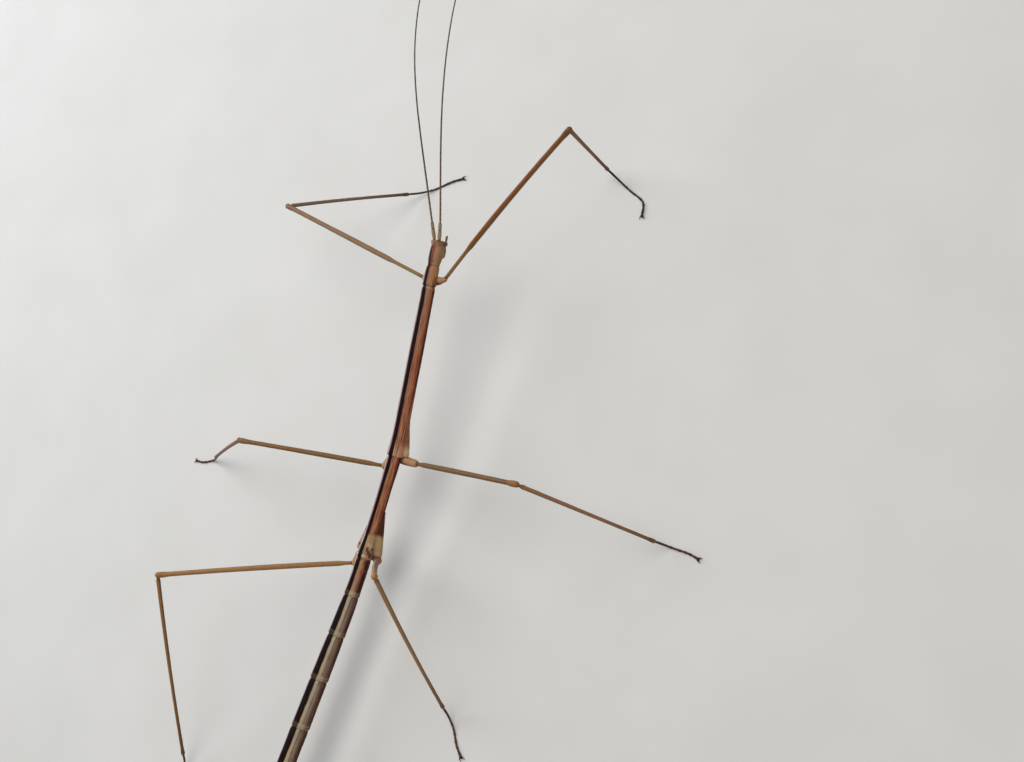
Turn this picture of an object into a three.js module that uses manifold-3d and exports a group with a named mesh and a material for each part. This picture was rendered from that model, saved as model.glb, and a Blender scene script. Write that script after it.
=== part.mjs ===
// A slender wingless stick insect, life size, standing on its six feet.
// Millimetres, +Z up, head towards +Y. The origin is on the floor under the middle of its box.
import * as THREE from "three";
import { mergeVertices } from "three/addons/utils/BufferGeometryUtils.js";
import Module from "manifold-3d";

const wasm = await Module();
wasm.setup();

// ---- Driving dimensions ----

const cut = 0.06; // thin cut that parts two neighbours
const bodySides = 14;
const legSides = 8;
const feelerSides = 8;
const ringSpacing = 3.4; // greatest spacing of a body segment's rings

const headTip = new THREE.Vector3(0.28, 25.2, 15.5);
const bodyPitch = 8; // degrees that head and thorax rise towards the front
const bodyBend = 7.1; // degrees that the rear swings to the left
const bendFrom = 29.4;
const bendTo = 41.4;
const levelFrom = 49.6;
const levelTo = 67.6;
const headTurn = 3.4; // degrees that the head looks to the right
const headTurnTo = 11;
const bodyDepth = 0.92; // depth of a body section for its width
const bellyShare = 0.94; // depth of its lower half for that of its upper half
const endShare = 0.94; // width of a body segment at its very ends for that just inside them

const head = { length: 4.45, width: 2.66, depth: 0.86 };
const eye = { radius: 0.49, back: 0.5, out: 1.18, up: -0.15 };

// Width at the front, the waist and the rear of each body segment. flare is the length of its rear widening.
const segments = [
  { name: "prothorax", length: 3.5, front: 2.34, waist: 2.4, rear: 2.46, flare: 1.4 },
  { name: "mesothorax", length: 28.8, front: 2.38, waist: 2.54, rear: 3.0, flare: 3.8 },
  { name: "metathorax", length: 17.7, front: 2.5, waist: 2.3, rear: 3.0, flare: 4.4 },
  { name: "abdomen_1", length: 6.6, front: 2.7, waist: 2.68, rear: 2.84, flare: 1.4 },
  { name: "abdomen_2", length: 7.0, front: 2.84, waist: 3.0, rear: 3.12, flare: 1.6 },
  { name: "abdomen_3", length: 7.7, front: 3.08, waist: 3.18, rear: 3.28, flare: 1.8 },
  { name: "abdomen_4", length: 8.3, front: 3.22, waist: 3.22, rear: 3.32, flare: 1.8 },
  { name: "abdomen_5", length: 8.3, front: 3.26, waist: 3.2, rear: 3.26, flare: 1.8 },
  { name: "abdomen_6", length: 8.0, front: 3.18, waist: 3.0, rear: 3.06, flare: 1.8 },
  { name: "abdomen_7", length: 6.8, front: 2.94, waist: 2.7, rear: 2.76, flare: 1.6 },
  { name: "abdomen_8", length: 4.6, front: 2.6, waist: 2.36, rear: 2.38, flare: 1.2 },
  { name: "abdomen_9", length: 3.6, front: 2.2, waist: 2.04, rear: 2.08, flare: 1.0 },
  { name: "abdomen_10", length: 2.8, front: 1.96, waist: 1.8, rear: 1.5, flare: 0.8 },
];

// Outer and inner pair of palps: the root's place, the length and the splay.
const palps = [
  { back: 1.5, out: 0.6, down: 1.15, long: 2.6, splay: 2 },
  { back: 2.0, out: 0.3, down: 1.5, long: 1.9, splay: 6 },
];
const palpRise = 10;
const palpRadius = 0.2;
const palpSides = 5;
const jaws = { from: { back: 0.1, down: 0.55 }, to: { back: 3.0, down: 1.05 }, sides: 10 };
const jawWidening = 1.25; // width of the jaws for their depth

// Side plates that widen two segments towards their coxae. Each runs from one place by the body to another:
// distance back from the head, out from the middle and down from the axis.
const flanks = {
  mesothorax: { from: [30.4, 0.55, 0.45], to: [36.5, 1.4, 0.85], slim: 0.5, wide: 0.85 },
  metathorax: { from: [46.0, 0.6, 0.45], to: [53.6, 1.75, 0.95], slim: 0.5, wide: 0.95 },
};

const plate = { from: 103.2, length: 13.6, radius: 0.82, below: 0.72, sides: 8, rings: 7 };
const cercus = { length: 1.7, radius: 0.27, apart: 0.42, up: 0.05, splay: 12, rise: -6 };

const feeler = {
  length: 46,
  root: 3.2,
  back: 0.35,
  up: 0.5,
  rise: 29,
  rootRadius: 0.33,
  radius: 0.25,
  rings: 6,
};
const feelerCourse = {
  left: { out: -0.58, heading: -9, lean: 0, curl: 0.045, curlFrom: 14 },
  right: { out: 0.33, heading: 1.5, lean: 6, curl: 0.02, curlFrom: 8 },
};
const leanTo = 6; // how far from the head a feeler's first lean has gone

const kneeRadius = 0.5;
const slimRadius = 0.33; // of a femur's slim root
const tibiaBow = 0.25;
const ankleRadius = 0.34;
const ankleHeight = 2.4;
const toeRadius = 0.3;
const toeJoints = [0.42, 0.62, 0.8]; // shares of a tarsus's length
const toeTurnAt = 0.78;
const soleHeight = 0.21; // height of a tarsus's middle line where it lies on the floor
const claw = { length: 1.15, radius: 0.13, tip: 0.04, behind: 0.3, splay: 26, rise: -6, sides: 4 };

// Sizes that the left and the right leg of a pair share. coxaFrom is where the coxa starts in the body:
// distance back from the head, out from the middle and down from the axis.
const pairs = {
  front: {
    coxaFrom: [7.0, 0.55, 0.5],
    coxaRadius: 0.72,
    hipRadius: 0.46,
    femur: 33.6,
    tibia: 22.0,
    tarsus: 10.7,
    slimBase: 6.2,
    femurRadius: 0.45,
  },
  mid: {
    coxaFrom: [37.0, 0.9, 0.8],
    coxaRadius: 0.76,
    hipRadius: 0.64,
    femur: 26.5,
    tibia: 23.4,
    tarsus: 6.8,
    slimBase: 0.8,
    femurRadius: 0.42,
  },
  hind: {
    coxaFrom: [53.4, 1.35, 0.9],
    coxaRadius: 0.84,
    hipRadius: 0.74,
    femur: 33.0,
    tibia: 36.5,
    tarsus: 8.0,
    slimBase: 0.8,
    femurRadius: 0.44,
  },
};

// The stance. hip is the femur's start: distance back from the head, out from the middle and down from
// the axis. Headings are degrees from +Y towards +X, and a femur's second number is its rise. bow is how
// far the femur's middle stands above the straight line.
// turn is how far the last toe joints swing.
const stance = [
  {
    pair: "front",
    side: "right",
    hip: [6.3, 2.2, 0.9],
    femur: [43.3, 17.7],
    bow: 0.5,
    tibia: -55.2,
    tarsus: 123.5,
    turn: 46,
  },
  {
    pair: "front",
    side: "left",
    hip: [6.5, 1.9, 0.9],
    femur: [-73.8, 3.3],
    bow: 0.5,
    tibia: 59.5,
    tarsus: 62,
    turn: 8,
  },
  {
    pair: "mid",
    side: "right",
    hip: [36.9, 3.6, 1.15],
    femur: [90.7, 20.9],
    bow: 0.35,
    tibia: 98.8,
    tarsus: 96,
    turn: 10,
  },
  {
    pair: "mid",
    side: "left",
    hip: [39.0, 2.2, 1.15],
    femur: [-94.4, 18.2],
    bow: 0.35,
    tibia: -100.6,
    tarsus: -107,
    turn: 18,
  },
  {
    pair: "hind",
    side: "right",
    hip: [54.2, 2.0, 1.1],
    femur: [94.0, 55.1],
    bow: 0.2,
    tibia: -173.2,
    tarsus: 150,
    turn: -12,
  },
  {
    pair: "hind",
    side: "left",
    hip: [56.0, 2.1, 1.1],
    femur: [-111.1, 28.8],
    bow: 0.8,
    tibia: -177.9,
    tarsus: -168,
    turn: 12,
  },
];

const finish = {
  thorax: new THREE.MeshStandardMaterial({ color: 0x9a6a4c, roughness: 0.45, metalness: 0 }),
  abdomen: new THREE.MeshStandardMaterial({ color: 0x8f7f66, roughness: 0.45, metalness: 0 }),
  head: new THREE.MeshStandardMaterial({ color: 0x8a5a44, roughness: 0.45, metalness: 0 }),
  eye: new THREE.MeshStandardMaterial({ color: 0x2a1712, roughness: 0.2, metalness: 0 }),
  leg: new THREE.MeshStandardMaterial({ color: 0x8c6c45, roughness: 0.5, metalness: 0 }),
  coxa: new THREE.MeshStandardMaterial({ color: 0xa58a6c, roughness: 0.5, metalness: 0 }),
  tarsus: new THREE.MeshStandardMaterial({ color: 0x4e3a34, roughness: 0.55, metalness: 0 }),
  feeler: new THREE.MeshStandardMaterial({ color: 0x6b5a48, roughness: 0.6, metalness: 0 }),
};

// ---- Paths ----

const radians = THREE.MathUtils.degToRad;
const easeBetween = THREE.MathUtils.smoothstep;
const worldUp = new THREE.Vector3(0, 0, 1);

function direction(heading, rise) {
  const level = Math.cos(radians(rise));
  return new THREE.Vector3(
    Math.sin(radians(heading)) * level,
    Math.cos(radians(heading)) * level,
    Math.sin(radians(rise)),
  );
}

// A path walked from start, whose heading and rise are given for each distance.
function walk(start, length, headingAt, riseAt) {
  const steps = Math.ceil(length);
  const step = length / steps;
  const points = [start.clone()];
  for (let i = 0; i < steps; i++) {
    const middle = (i + 0.5) * step;
    const next = points[i].clone().addScaledVector(direction(headingAt(middle), riseAt(middle)), step);
    points.push(next);
  }
  return new THREE.CatmullRomCurve3(points);
}

// A straight limb from a to b that bows by a given height across the hinge.
function bowed(a, b, hinge, bow) {
  const across = hinge.clone().cross(b.clone().sub(a)).normalize();
  const middle = a.clone().lerp(b, 0.5).addScaledVector(across, 2 * bow);
  return new THREE.QuadraticBezierCurve3(a, middle, b);
}

// The place and the three axes of a path at a share of its length. A hinge, where one is given, is the
// direction that the section's side keeps to.
function station(path, share, up, hinge) {
  const place = path.getPointAt(THREE.MathUtils.clamp(share, 0, 1));
  const forward = path.getTangentAt(THREE.MathUtils.clamp(share, 0, 1));
  const side = hinge ? hinge.clone() : forward.clone().cross(up);
  side.addScaledVector(forward, -side.dot(forward)).normalize();
  return { place, forward, side, up: side.clone().cross(forward) };
}

// ---- Solids ----

// Turns a profile of [along, radius] about the path. shape(x, z, along) may reshape each section.
function turned(profile, sides, path, options = {}) {
  const points = [new THREE.Vector2(0, profile[0][0])];
  for (const [along, radius] of profile) {
    points.push(new THREE.Vector2(radius, along));
  }
  points.push(new THREE.Vector2(0, profile[profile.length - 1][0]));
  const geometry = new THREE.LatheGeometry(points, sides);
  const position = geometry.attributes.position;
  const length = path.getLength();
  for (let i = 0; i < position.count; i++) {
    const along = position.getY(i);
    const [x, z] = options.shape
      ? options.shape(position.getX(i), position.getZ(i), along)
      : [position.getX(i), position.getZ(i)];
    const { place, forward, side, up } = station(path, along / length, worldUp, options.hinge);
    const past = along - THREE.MathUtils.clamp(along, 0, length);
    place.addScaledVector(forward, past).addScaledVector(side, x).addScaledVector(up, z);
    if (options.floor) {
      place.z = Math.max(place.z, 0);
    }
    position.setXYZ(i, place.x, place.y, place.z);
  }
  return asSolid(geometry);
}

function asSolid(geometry) {
  geometry.deleteAttribute("normal");
  geometry.deleteAttribute("uv");
  const merged = mergeVertices(geometry, 1e-4);
  const corners = merged.index.array;
  const kept = [];
  for (let i = 0; i < corners.length; i += 3) {
    const [a, b, c] = [corners[i], corners[i + 1], corners[i + 2]];
    if (a !== b && b !== c && c !== a) {
      kept.push(a, b, c);
    }
  }
  const mesh = new wasm.Mesh({
    numProp: 3,
    vertProperties: merged.attributes.position.array,
    triVerts: new Uint32Array(kept),
  });
  return new wasm.Manifold(mesh);
}

function asMesh(name, solid, material) {
  const { numProp, vertProperties, triVerts } = solid.getMesh();
  const geometry = new THREE.BufferGeometry();
  const position = new Float32Array((vertProperties.length / numProp) * 3);
  for (let i = 0; i < position.length / 3; i++) {
    position.set(vertProperties.subarray(i * numProp, i * numProp + 3), i * 3);
  }
  geometry.setAttribute("position", new THREE.BufferAttribute(position, 3));
  geometry.setIndex(new THREE.BufferAttribute(new Uint32Array(triVerts), 1));
  geometry.computeVertexNormals();
  const mesh = new THREE.Mesh(geometry, material);
  mesh.name = name;
  return mesh;
}

// A dome of a given radius at the end of a profile, centred on the joint.
function dome(centre, radius, steps) {
  const arc = [];
  for (let i = 1; i <= steps; i++) {
    const angle = (i / steps) * radians(84);
    arc.push([centre + radius * Math.sin(angle), radius * Math.cos(angle)]);
  }
  return arc;
}

// ---- Body ----

const insect = new THREE.Group();
const bodyLength = head.length + segments.reduce((sum, segment) => sum + segment.length, 0);

function bodyHeading(along) {
  const looking = headTurn * (1 - easeBetween(along, 0, headTurnTo));
  return 180 + looking + bodyBend * easeBetween(along, bendFrom, bendTo);
}

const bodyPath = walk(
  headTip,
  bodyLength,
  bodyHeading,
  (along) => -bodyPitch * (1 - easeBetween(along, levelFrom, levelTo)),
);

// Back a little flatter than a circle, belly flatter still.
function bodySection(x, z) {
  return [x, z * (z < 0 ? bodyDepth * bellyShare : bodyDepth)];
}

// A profile through stops of [along, width], smoothly eased from one to the next.
function easedProfile(stops, from, grow) {
  const length = stops[stops.length - 1][0];
  const inset = cut / 2 - grow;
  const profile = [];
  for (let i = 0; i < stops.length - 1; i++) {
    const [start, startWidth] = stops[i];
    const [end, endWidth] = stops[i + 1];
    const steps = Math.max(1, Math.round((end - start) / ringSpacing));
    for (let step = i === 0 ? 0 : 1; step <= steps; step++) {
      const along = start + ((end - start) * step) / steps;
      const width = THREE.MathUtils.lerp(startWidth, endWidth, easeBetween(along, start, end));
      const fitted = from + inset + (along / length) * (length - 2 * inset);
      profile.push([fitted, width / 2 + grow]);
    }
  }
  return profile;
}

function segmentSolid({ length, front, waist, rear, flare }, from, grow) {
  const stops = [
    [0, front * endShare],
    [Math.min(0.5, length * 0.1), front],
    [(length - flare) * 0.45, waist],
    [length - flare, waist * 1.02],
    [length - flare * 0.25, rear],
    [length, rear * endShare],
  ];
  return turned(easedProfile(stops, from, grow), bodySides, bodyPath, { shape: bodySection });
}

// A point by the body: back along the axis, out to the right, and up.
function beside(back, out, up) {
  const axes = station(bodyPath, back / bodyLength, worldUp);
  return axes.place.addScaledVector(axes.side, -out).addScaledVector(axes.up, up);
}

// A slim cone that runs back and outwards along one side of a segment.
function flankSolid({ from, to, slim, wide }, sign, grow) {
  const start = beside(from[0], sign * from[1], -from[2]);
  const end = beside(to[0], sign * to[1], -to[2]);
  const length = start.distanceTo(end);
  const profile = [
    [-grow, slim * 0.5 + grow],
    [length * 0.1, slim + grow],
    [length * 0.92, wide + grow],
    [length + grow, wide * 0.7 + grow],
  ];
  return turned(profile, legSides, new THREE.LineCurve3(start, end), { hinge: worldUp });
}

const sides = { left: -1, right: 1 };
const grownBody = {};
let along = head.length;
for (const segment of segments) {
  const material = segment.name.startsWith("abdomen") ? finish.abdomen : finish.thorax;
  let solid = segmentSolid(segment, along, 0);
  let grown = segmentSolid(segment, along, cut);
  if (segment.name in flanks) {
    for (const sign of Object.values(sides)) {
      solid = solid.add(flankSolid(flanks[segment.name], sign, 0));
      grown = grown.add(flankSolid(flanks[segment.name], sign, cut));
    }
  }
  grownBody[segment.name] = grown;
  insect.add(asMesh(segment.name, solid, material));
  along += segment.length;
}

// ---- Head ----

// Blunt in front, widest at the eyes' rear, and narrower at the neck.
function headSolid(grow) {
  const stops = [
    [0, head.width * 0.4],
    [0.12, head.width * 0.62],
    [0.36, head.width * 0.8],
    [0.75, head.width * 0.9],
    [1.3, head.width * 0.95],
    [2.6, head.width * 0.97],
    [3.3, head.width * 0.93],
    [3.9, head.width * 0.88],
    [4.3, head.width * 0.84],
    [head.length, head.width * 0.76],
  ];
  const shape = (x, z) => [x, z * head.depth];
  return turned(easedProfile(stops, 0, grow), bodySides, bodyPath, { shape });
}

// A ball in its socket. Its pole points out of the head.
function eyeball(sign, radius) {
  const centre = beside(eye.back, sign * eye.out, eye.up);
  const outward = direction(90 * sign, 0);
  const start = centre.clone().addScaledVector(outward, -radius);
  const end = centre.clone().addScaledVector(outward, radius);
  const profile = [];
  const rings = 5;
  for (let i = 0; i <= rings; i++) {
    const angle = radians(12 + (156 * i) / rings);
    profile.push([radius - radius * Math.cos(angle), radius * Math.sin(angle)]);
  }
  return turned(profile, 10, new THREE.LineCurve3(start, end), { hinge: worldUp });
}

let headWithSockets = headSolid(0);
for (const [side, sign] of Object.entries(sides)) {
  headWithSockets = headWithSockets.subtract(eyeball(sign, eye.radius + cut / 2));
  insect.add(asMesh(`eye_${side}`, eyeball(sign, eye.radius), finish.eye));
}
insect.add(asMesh("head", headWithSockets, finish.head));

const grownHead = headSolid(cut);

// Labrum and jaws under the front of the head, with the two pairs of palps.
function mouth() {
  const jawStart = beside(jaws.from.back, 0, -jaws.from.down);
  const jawEnd = beside(jaws.to.back, 0, -jaws.to.down);
  const jawPath = new THREE.LineCurve3(jawStart, jawEnd);
  const jawProfile = [[0, 0.42], [0.3, 0.68], [0.9, 0.86], [1.7, 0.92], [2.5, 0.84], [2.9, 0.5]];
  let solid = turned(jawProfile, jaws.sides, jawPath, { shape: (x, z) => [x * jawWidening, z] });
  for (const sign of Object.values(sides)) {
    for (const { back, out, down, long, splay } of palps) {
      const root = beside(back, sign * out, -down);
      const tip = root.clone().addScaledVector(direction(sign * splay, palpRise), long);
      const palp = [
        [0, palpRadius * 0.8],
        [long * 0.45, palpRadius],
        [long * 0.8, palpRadius * 1.05],
        [long, palpRadius * 0.5],
      ];
      const palpPath = new THREE.LineCurve3(root, tip);
      solid = solid.add(turned(palp, palpSides, palpPath, { hinge: direction(90, 0) }));
    }
  }
  return solid.subtract(grownHead);
}
insect.add(asMesh("mouthparts", mouth(), finish.head));

// ---- Feelers ----

function feelerPath(side) {
  const { out, heading, lean, curl, curlFrom } = feelerCourse[side];
  const root = beside(feeler.back, out, feeler.up);
  const headingAt = (along) => {
    const curled = curl * Math.max(0, along - curlFrom) ** 2;
    return heading + lean * (1 - easeBetween(along, 0, leanTo)) + curled;
  };
  return walk(root, feeler.length, headingAt, () => feeler.rise);
}

for (const side of Object.keys(sides)) {
  const path = feelerPath(side);
  const { root, rootRadius, radius, length, rings } = feeler;
  const halfway = length / 2;
  const rootProfile = [
    [0.1, rootRadius * 0.9],
    [0.7, rootRadius * 1.1],
    [root * 0.6, rootRadius],
    [root * 0.68, rootRadius * 0.84],
    [root * 0.75, rootRadius * 0.94],
    [root - cut / 2, rootRadius * 0.85],
  ];
  const rootSolid = turned(rootProfile, feelerSides, path).subtract(grownHead);
  insect.add(asMesh(`feeler_${side}_root`, rootSolid, finish.feeler));
  const lengths = [
    { name: "near", from: root + cut / 2, to: halfway - cut / 2 },
    { name: "far", from: halfway + cut / 2, to: length },
  ];
  for (const { name, from, to } of lengths) {
    const profile = [];
    for (let i = 0; i <= rings; i++) {
      profile.push([from + ((to - from) * i) / rings, radius]);
    }
    insect.add(asMesh(`feeler_${side}_${name}`, turned(profile, feelerSides, path), finish.feeler));
  }
}

// ---- Tail end ----

function tailPlate() {
  const path = walk(
    beside(plate.from, 0, -plate.below),
    plate.length,
    () => 180 + bodyBend,
    () => 0,
  );
  const profile = [];
  for (let i = 0; i <= plate.rings; i++) {
    const share = i / plate.rings;
    const fullness = Math.sin(radians(14 + 150 * share)) ** 0.7;
    profile.push([plate.length * share, plate.radius * fullness]);
  }
  let solid = turned(profile, plate.sides, path);
  for (const name of ["abdomen_7", "abdomen_8", "abdomen_9", "abdomen_10"]) {
    solid = solid.subtract(grownBody[name]);
  }
  return solid;
}
insect.add(asMesh("tail_plate", tailPlate(), finish.abdomen));

for (const [side, sign] of Object.entries(sides)) {
  const root = beside(bodyLength, sign * cercus.apart, cercus.up).addScaledVector(
    direction(180 + bodyBend, 0),
    cut,
  );
  const course = direction(180 + bodyBend - sign * cercus.splay, cercus.rise);
  const tip = root.clone().addScaledVector(course, cercus.length);
  const profile = [
    [0, cercus.radius],
    [cercus.length * 0.5, cercus.radius],
    [cercus.length * 0.85, cercus.radius * 0.7],
    [cercus.length, cercus.radius * 0.3],
  ];
  const solid = turned(profile, feelerSides, new THREE.LineCurve3(root, tip)).subtract(
    grownBody.abdomen_10,
  );
  insect.add(asMesh(`cercus_${side}`, solid, finish.abdomen));
}

// ---- Legs ----

function coxa(pair, hip, sign) {
  const [back, out, down] = pair.coxaFrom;
  const start = beside(back, sign * out, -down);
  const length = start.distanceTo(hip);
  const profile = [
    [0, pair.coxaRadius * 0.8],
    [length * 0.3, pair.coxaRadius],
    [length - 0.25, pair.hipRadius * 1.06],
    [length, pair.hipRadius],
    ...dome(length, pair.hipRadius, 2),
  ];
  const path = new THREE.LineCurve3(start, hip);
  let solid = turned(profile, legSides, path, { hinge: worldUp });
  for (const grown of Object.values(grownBody)) {
    solid = solid.subtract(grown);
  }
  return solid.subtract(grownHead);
}

function femur(pair, bow, hip, knee, hinge, grow) {
  const length = hip.distanceTo(knee);
  const r = pair.femurRadius + grow;
  const kneeSize = kneeRadius + grow;
  const start = pair.hipRadius + cut;
  const slim = start + pair.slimBase;
  const profile = [
    [start, 0.28 + grow],
    [start + 0.35, slimRadius + grow],
    [slim, slimRadius + grow],
    [slim + 1.4, r],
    [length * 0.4, r * 1.04],
    [length * 0.7, r * 0.94],
    [length - 1.9, r * 0.92],
    [length - 0.7, kneeSize],
    [length, kneeSize],
    ...dome(length, kneeSize, 2),
  ];
  return turned(profile, legSides, bowed(hip, knee, hinge, bow), { hinge });
}

// Starts beyond the knee, and is cut back where a folded leg would touch its own femur.
function tibia(knee, ankle, hinge, grownFemur) {
  const length = knee.distanceTo(ankle);
  const start = kneeRadius + cut;
  const profile = [
    [start, 0.24],
    [start + 0.3, 0.36],
    [start + 1.4, 0.34],
    [length * 0.35, 0.31],
    [length * 0.7, 0.28],
    [length - 1.2, 0.28],
    [length - 0.4, 0.33],
    [length, ankleRadius],
    ...dome(length, ankleRadius, 2),
  ];
  return turned(profile, legSides, bowed(knee, ankle, hinge, tibiaBow), { hinge }).subtract(grownFemur);
}

// Five toe joints on a flat sole, and a pair of claws.
function tarsus(pair, ankle, heading, turn) {
  const ahead = (share, degrees) => direction(degrees, 0).multiplyScalar(pair.tarsus * share);
  const onFloor = ankle.clone().setZ(soleHeight);
  const points = [
    ankle.clone(),
    ankle.clone().add(ahead(0.2, heading)).setZ(ankleHeight * 0.42),
    onFloor.clone().add(ahead(0.45, heading)),
    onFloor.clone().add(ahead(toeTurnAt, heading)),
  ];
  points.push(points[3].clone().add(ahead(1 - toeTurnAt, heading + turn)));
  const path = new THREE.CatmullRomCurve3(points);
  const length = path.getLength();
  const start = ankleRadius + cut;
  const profile = [[start, 0.24], [start + 0.25, 0.28]];
  for (const joint of toeJoints) {
    profile.push([length * joint - 0.28, toeRadius]);
    profile.push([length * joint, toeRadius * 0.86]);
  }
  profile.push([length * 0.93, toeRadius], [length, toeRadius * 0.6]);
  let solid = turned(profile, legSides, path, { hinge: direction(heading + 90, 0), floor: true });
  const hook = [[0, claw.radius], [0.6, claw.radius - 0.01], [claw.length, claw.tip]];
  for (const splay of [-claw.splay, claw.splay]) {
    const root = points[4].clone().addScaledVector(direction(heading + turn, 0), -claw.behind);
    const course = direction(heading + turn + splay, claw.rise);
    const clawPath = new THREE.LineCurve3(root, root.clone().addScaledVector(course, claw.length));
    solid = solid.add(turned(hook, claw.sides, clawPath, { hinge: worldUp, floor: true }));
  }
  return solid;
}

for (const leg of stance) {
  const pair = pairs[leg.pair];
  const sign = sides[leg.side];
  const name = `${leg.pair}_${leg.side}`;
  const [back, out, down] = leg.hip;
  const hip = beside(back, sign * out, -down);
  const [femurHeading, femurRise] = leg.femur;
  const knee = hip.clone().addScaledVector(direction(femurHeading, femurRise), pair.femur);
  const drop = THREE.MathUtils.radToDeg(Math.asin((knee.z - ankleHeight) / pair.tibia));
  const ankle = knee.clone().addScaledVector(direction(leg.tibia, -drop), pair.tibia);
  const femurHinge = direction(femurHeading + 90, 0);
  const tibiaHinge = direction(leg.tibia + 90, 0);
  insect.add(asMesh(`coxa_${name}`, coxa(pair, hip, sign), finish.coxa));
  insect.add(asMesh(`femur_${name}`, femur(pair, leg.bow, hip, knee, femurHinge, 0), finish.leg));
  const grownFemur = femur(pair, leg.bow, hip, knee, femurHinge, cut);
  insect.add(asMesh(`tibia_${name}`, tibia(knee, ankle, tibiaHinge, grownFemur), finish.leg));
  insect.add(asMesh(`tarsus_${name}`, tarsus(pair, ankle, leg.tarsus, leg.turn), finish.tarsus));
}

const box = new THREE.Box3().setFromObject(insect);
const middle = box.getCenter(new THREE.Vector3());
insect.position.set(-middle.x, -middle.y, 0);

export default insect;
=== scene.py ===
import bisect
import math

import bmesh
import bpy
from mathutils import Matrix, Vector, geometry, noise


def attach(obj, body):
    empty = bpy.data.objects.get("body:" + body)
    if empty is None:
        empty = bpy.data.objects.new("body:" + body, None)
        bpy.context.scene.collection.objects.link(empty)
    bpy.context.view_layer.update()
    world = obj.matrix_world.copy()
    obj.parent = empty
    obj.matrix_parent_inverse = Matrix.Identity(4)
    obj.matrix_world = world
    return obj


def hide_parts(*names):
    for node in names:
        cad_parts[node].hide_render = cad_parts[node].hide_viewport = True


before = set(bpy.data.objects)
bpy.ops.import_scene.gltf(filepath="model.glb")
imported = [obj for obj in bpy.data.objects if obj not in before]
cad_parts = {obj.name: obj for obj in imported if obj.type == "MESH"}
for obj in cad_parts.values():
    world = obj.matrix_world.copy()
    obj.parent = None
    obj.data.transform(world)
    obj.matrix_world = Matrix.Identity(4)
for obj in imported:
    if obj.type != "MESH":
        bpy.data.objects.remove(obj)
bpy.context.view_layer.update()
scene = bpy.context.scene
print("stage: frame loaded")

# All sizes are in millimetres and degrees. Each finished mesh is scaled to metres at its end.
mm = 0.001
worldUp = Vector((0, 0, 1))


def ease(value, low, high):
    share = min(1, max(0, (value - low) / (high - low)))
    return share * share * (3 - 2 * share)


def between(start, end, share):
    return start + (end - start) * share


def profileAt(profile, along):  # the size between (place, size) stops, eased
    for (start, startSize), (end, endSize) in zip(profile, profile[1:]):
        if along <= end:
            return between(startSize, endSize, ease(along, start, end))
    return profile[-1][1]


def swell(value, height, centre, width):  # a smooth bump
    return height * math.exp(-(((value - centre) / width) ** 2))


def direction(heading, rise):
    turn, lift = math.radians(heading), math.radians(rise)
    return Vector((math.sin(turn) * math.cos(lift), math.cos(turn) * math.cos(lift), math.sin(lift)))


def addObject(name, data):
    made = bpy.data.objects.new(name, data)
    scene.collection.objects.link(made)
    return made


def addMesh(bm, name, materials):
    mesh = bpy.data.meshes.new(name)
    bm.to_mesh(mesh)
    bm.free()
    for material in materials:
        mesh.materials.append(material)
    return addObject(name, mesh)


view = {
    "place": (115.0438, -8.0858, 174.171),
    "right": (0.85033, 0.25585, -0.45988),
    "down": (0.15191, -0.95600, -0.25098),
    "forward": (-0.50385, 0.14356, -0.85178),
    "lens": 42.1875,
    "sensor": 36,
    "clip": (0.005, 20),
}


def placeCamera():
    data = bpy.data.cameras.new("camera")
    data.sensor_fit = "HORIZONTAL"
    data.sensor_width = view["sensor"]
    data.lens = view["lens"]
    data.clip_start, data.clip_end = view["clip"]
    camera = addObject("camera", data)
    turn = Matrix((view["right"], -Vector(view["down"]), -Vector(view["forward"]))).transposed()
    camera.matrix_world = Matrix.Translation(Vector(view["place"]) * mm) @ turn.to_4x4()
    scene.camera = camera


studio = {
    "target": (0, 20, 8),
    "world": (0.80, 0.84, 0.90),
    "worldStrength": 0.2,
    # name: direction towards the lamp, distance, size, power, colour
    "lamps": {
        "windowLeft": ((-0.9, 0.25, 0.5), 560, 340, 1.6, (0.82, 0.9, 1.0)),
        "softTop": ((-0.12, 0.25, 1.0), 620, 540, 2.2, (1.0, 0.96, 0.91)),
        "fillRight": ((0.9, -0.5, 0.55), 640, 300, 0.45, (1.0, 0.94, 0.88)),
    },
}


def placeLamps():
    world = bpy.data.worlds.new("studio")
    scene.world = world
    world.use_nodes = True
    background = world.node_tree.nodes["Background"]
    background.inputs["Color"].default_value = (*studio["world"], 1)
    background.inputs["Strength"].default_value = studio["worldStrength"]
    target = Vector(studio["target"])
    for name, (towards, distance, size, power, colour) in studio["lamps"].items():
        data = bpy.data.lights.new(name, "AREA")
        data.shape = "DISK"
        data.size = size * mm
        data.energy = power
        data.color = colour
        lamp = addObject(name, data)
        out = Vector(towards).normalized()
        turn = out.to_track_quat("Z", "Y").to_matrix().to_4x4()
        lamp.matrix_world = Matrix.Translation((target + out * distance) * mm) @ turn
    scene.view_settings.view_transform = "Standard"


def tint(red, green, blue):  # screen colour, 0 to 255, as a linear shader colour
    def linear(value):
        value /= 255
        return value / 12.92 if value <= 0.04045 else ((value + 0.055) / 1.055) ** 2.4

    return (linear(red), linear(green), linear(blue), 1)


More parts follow.
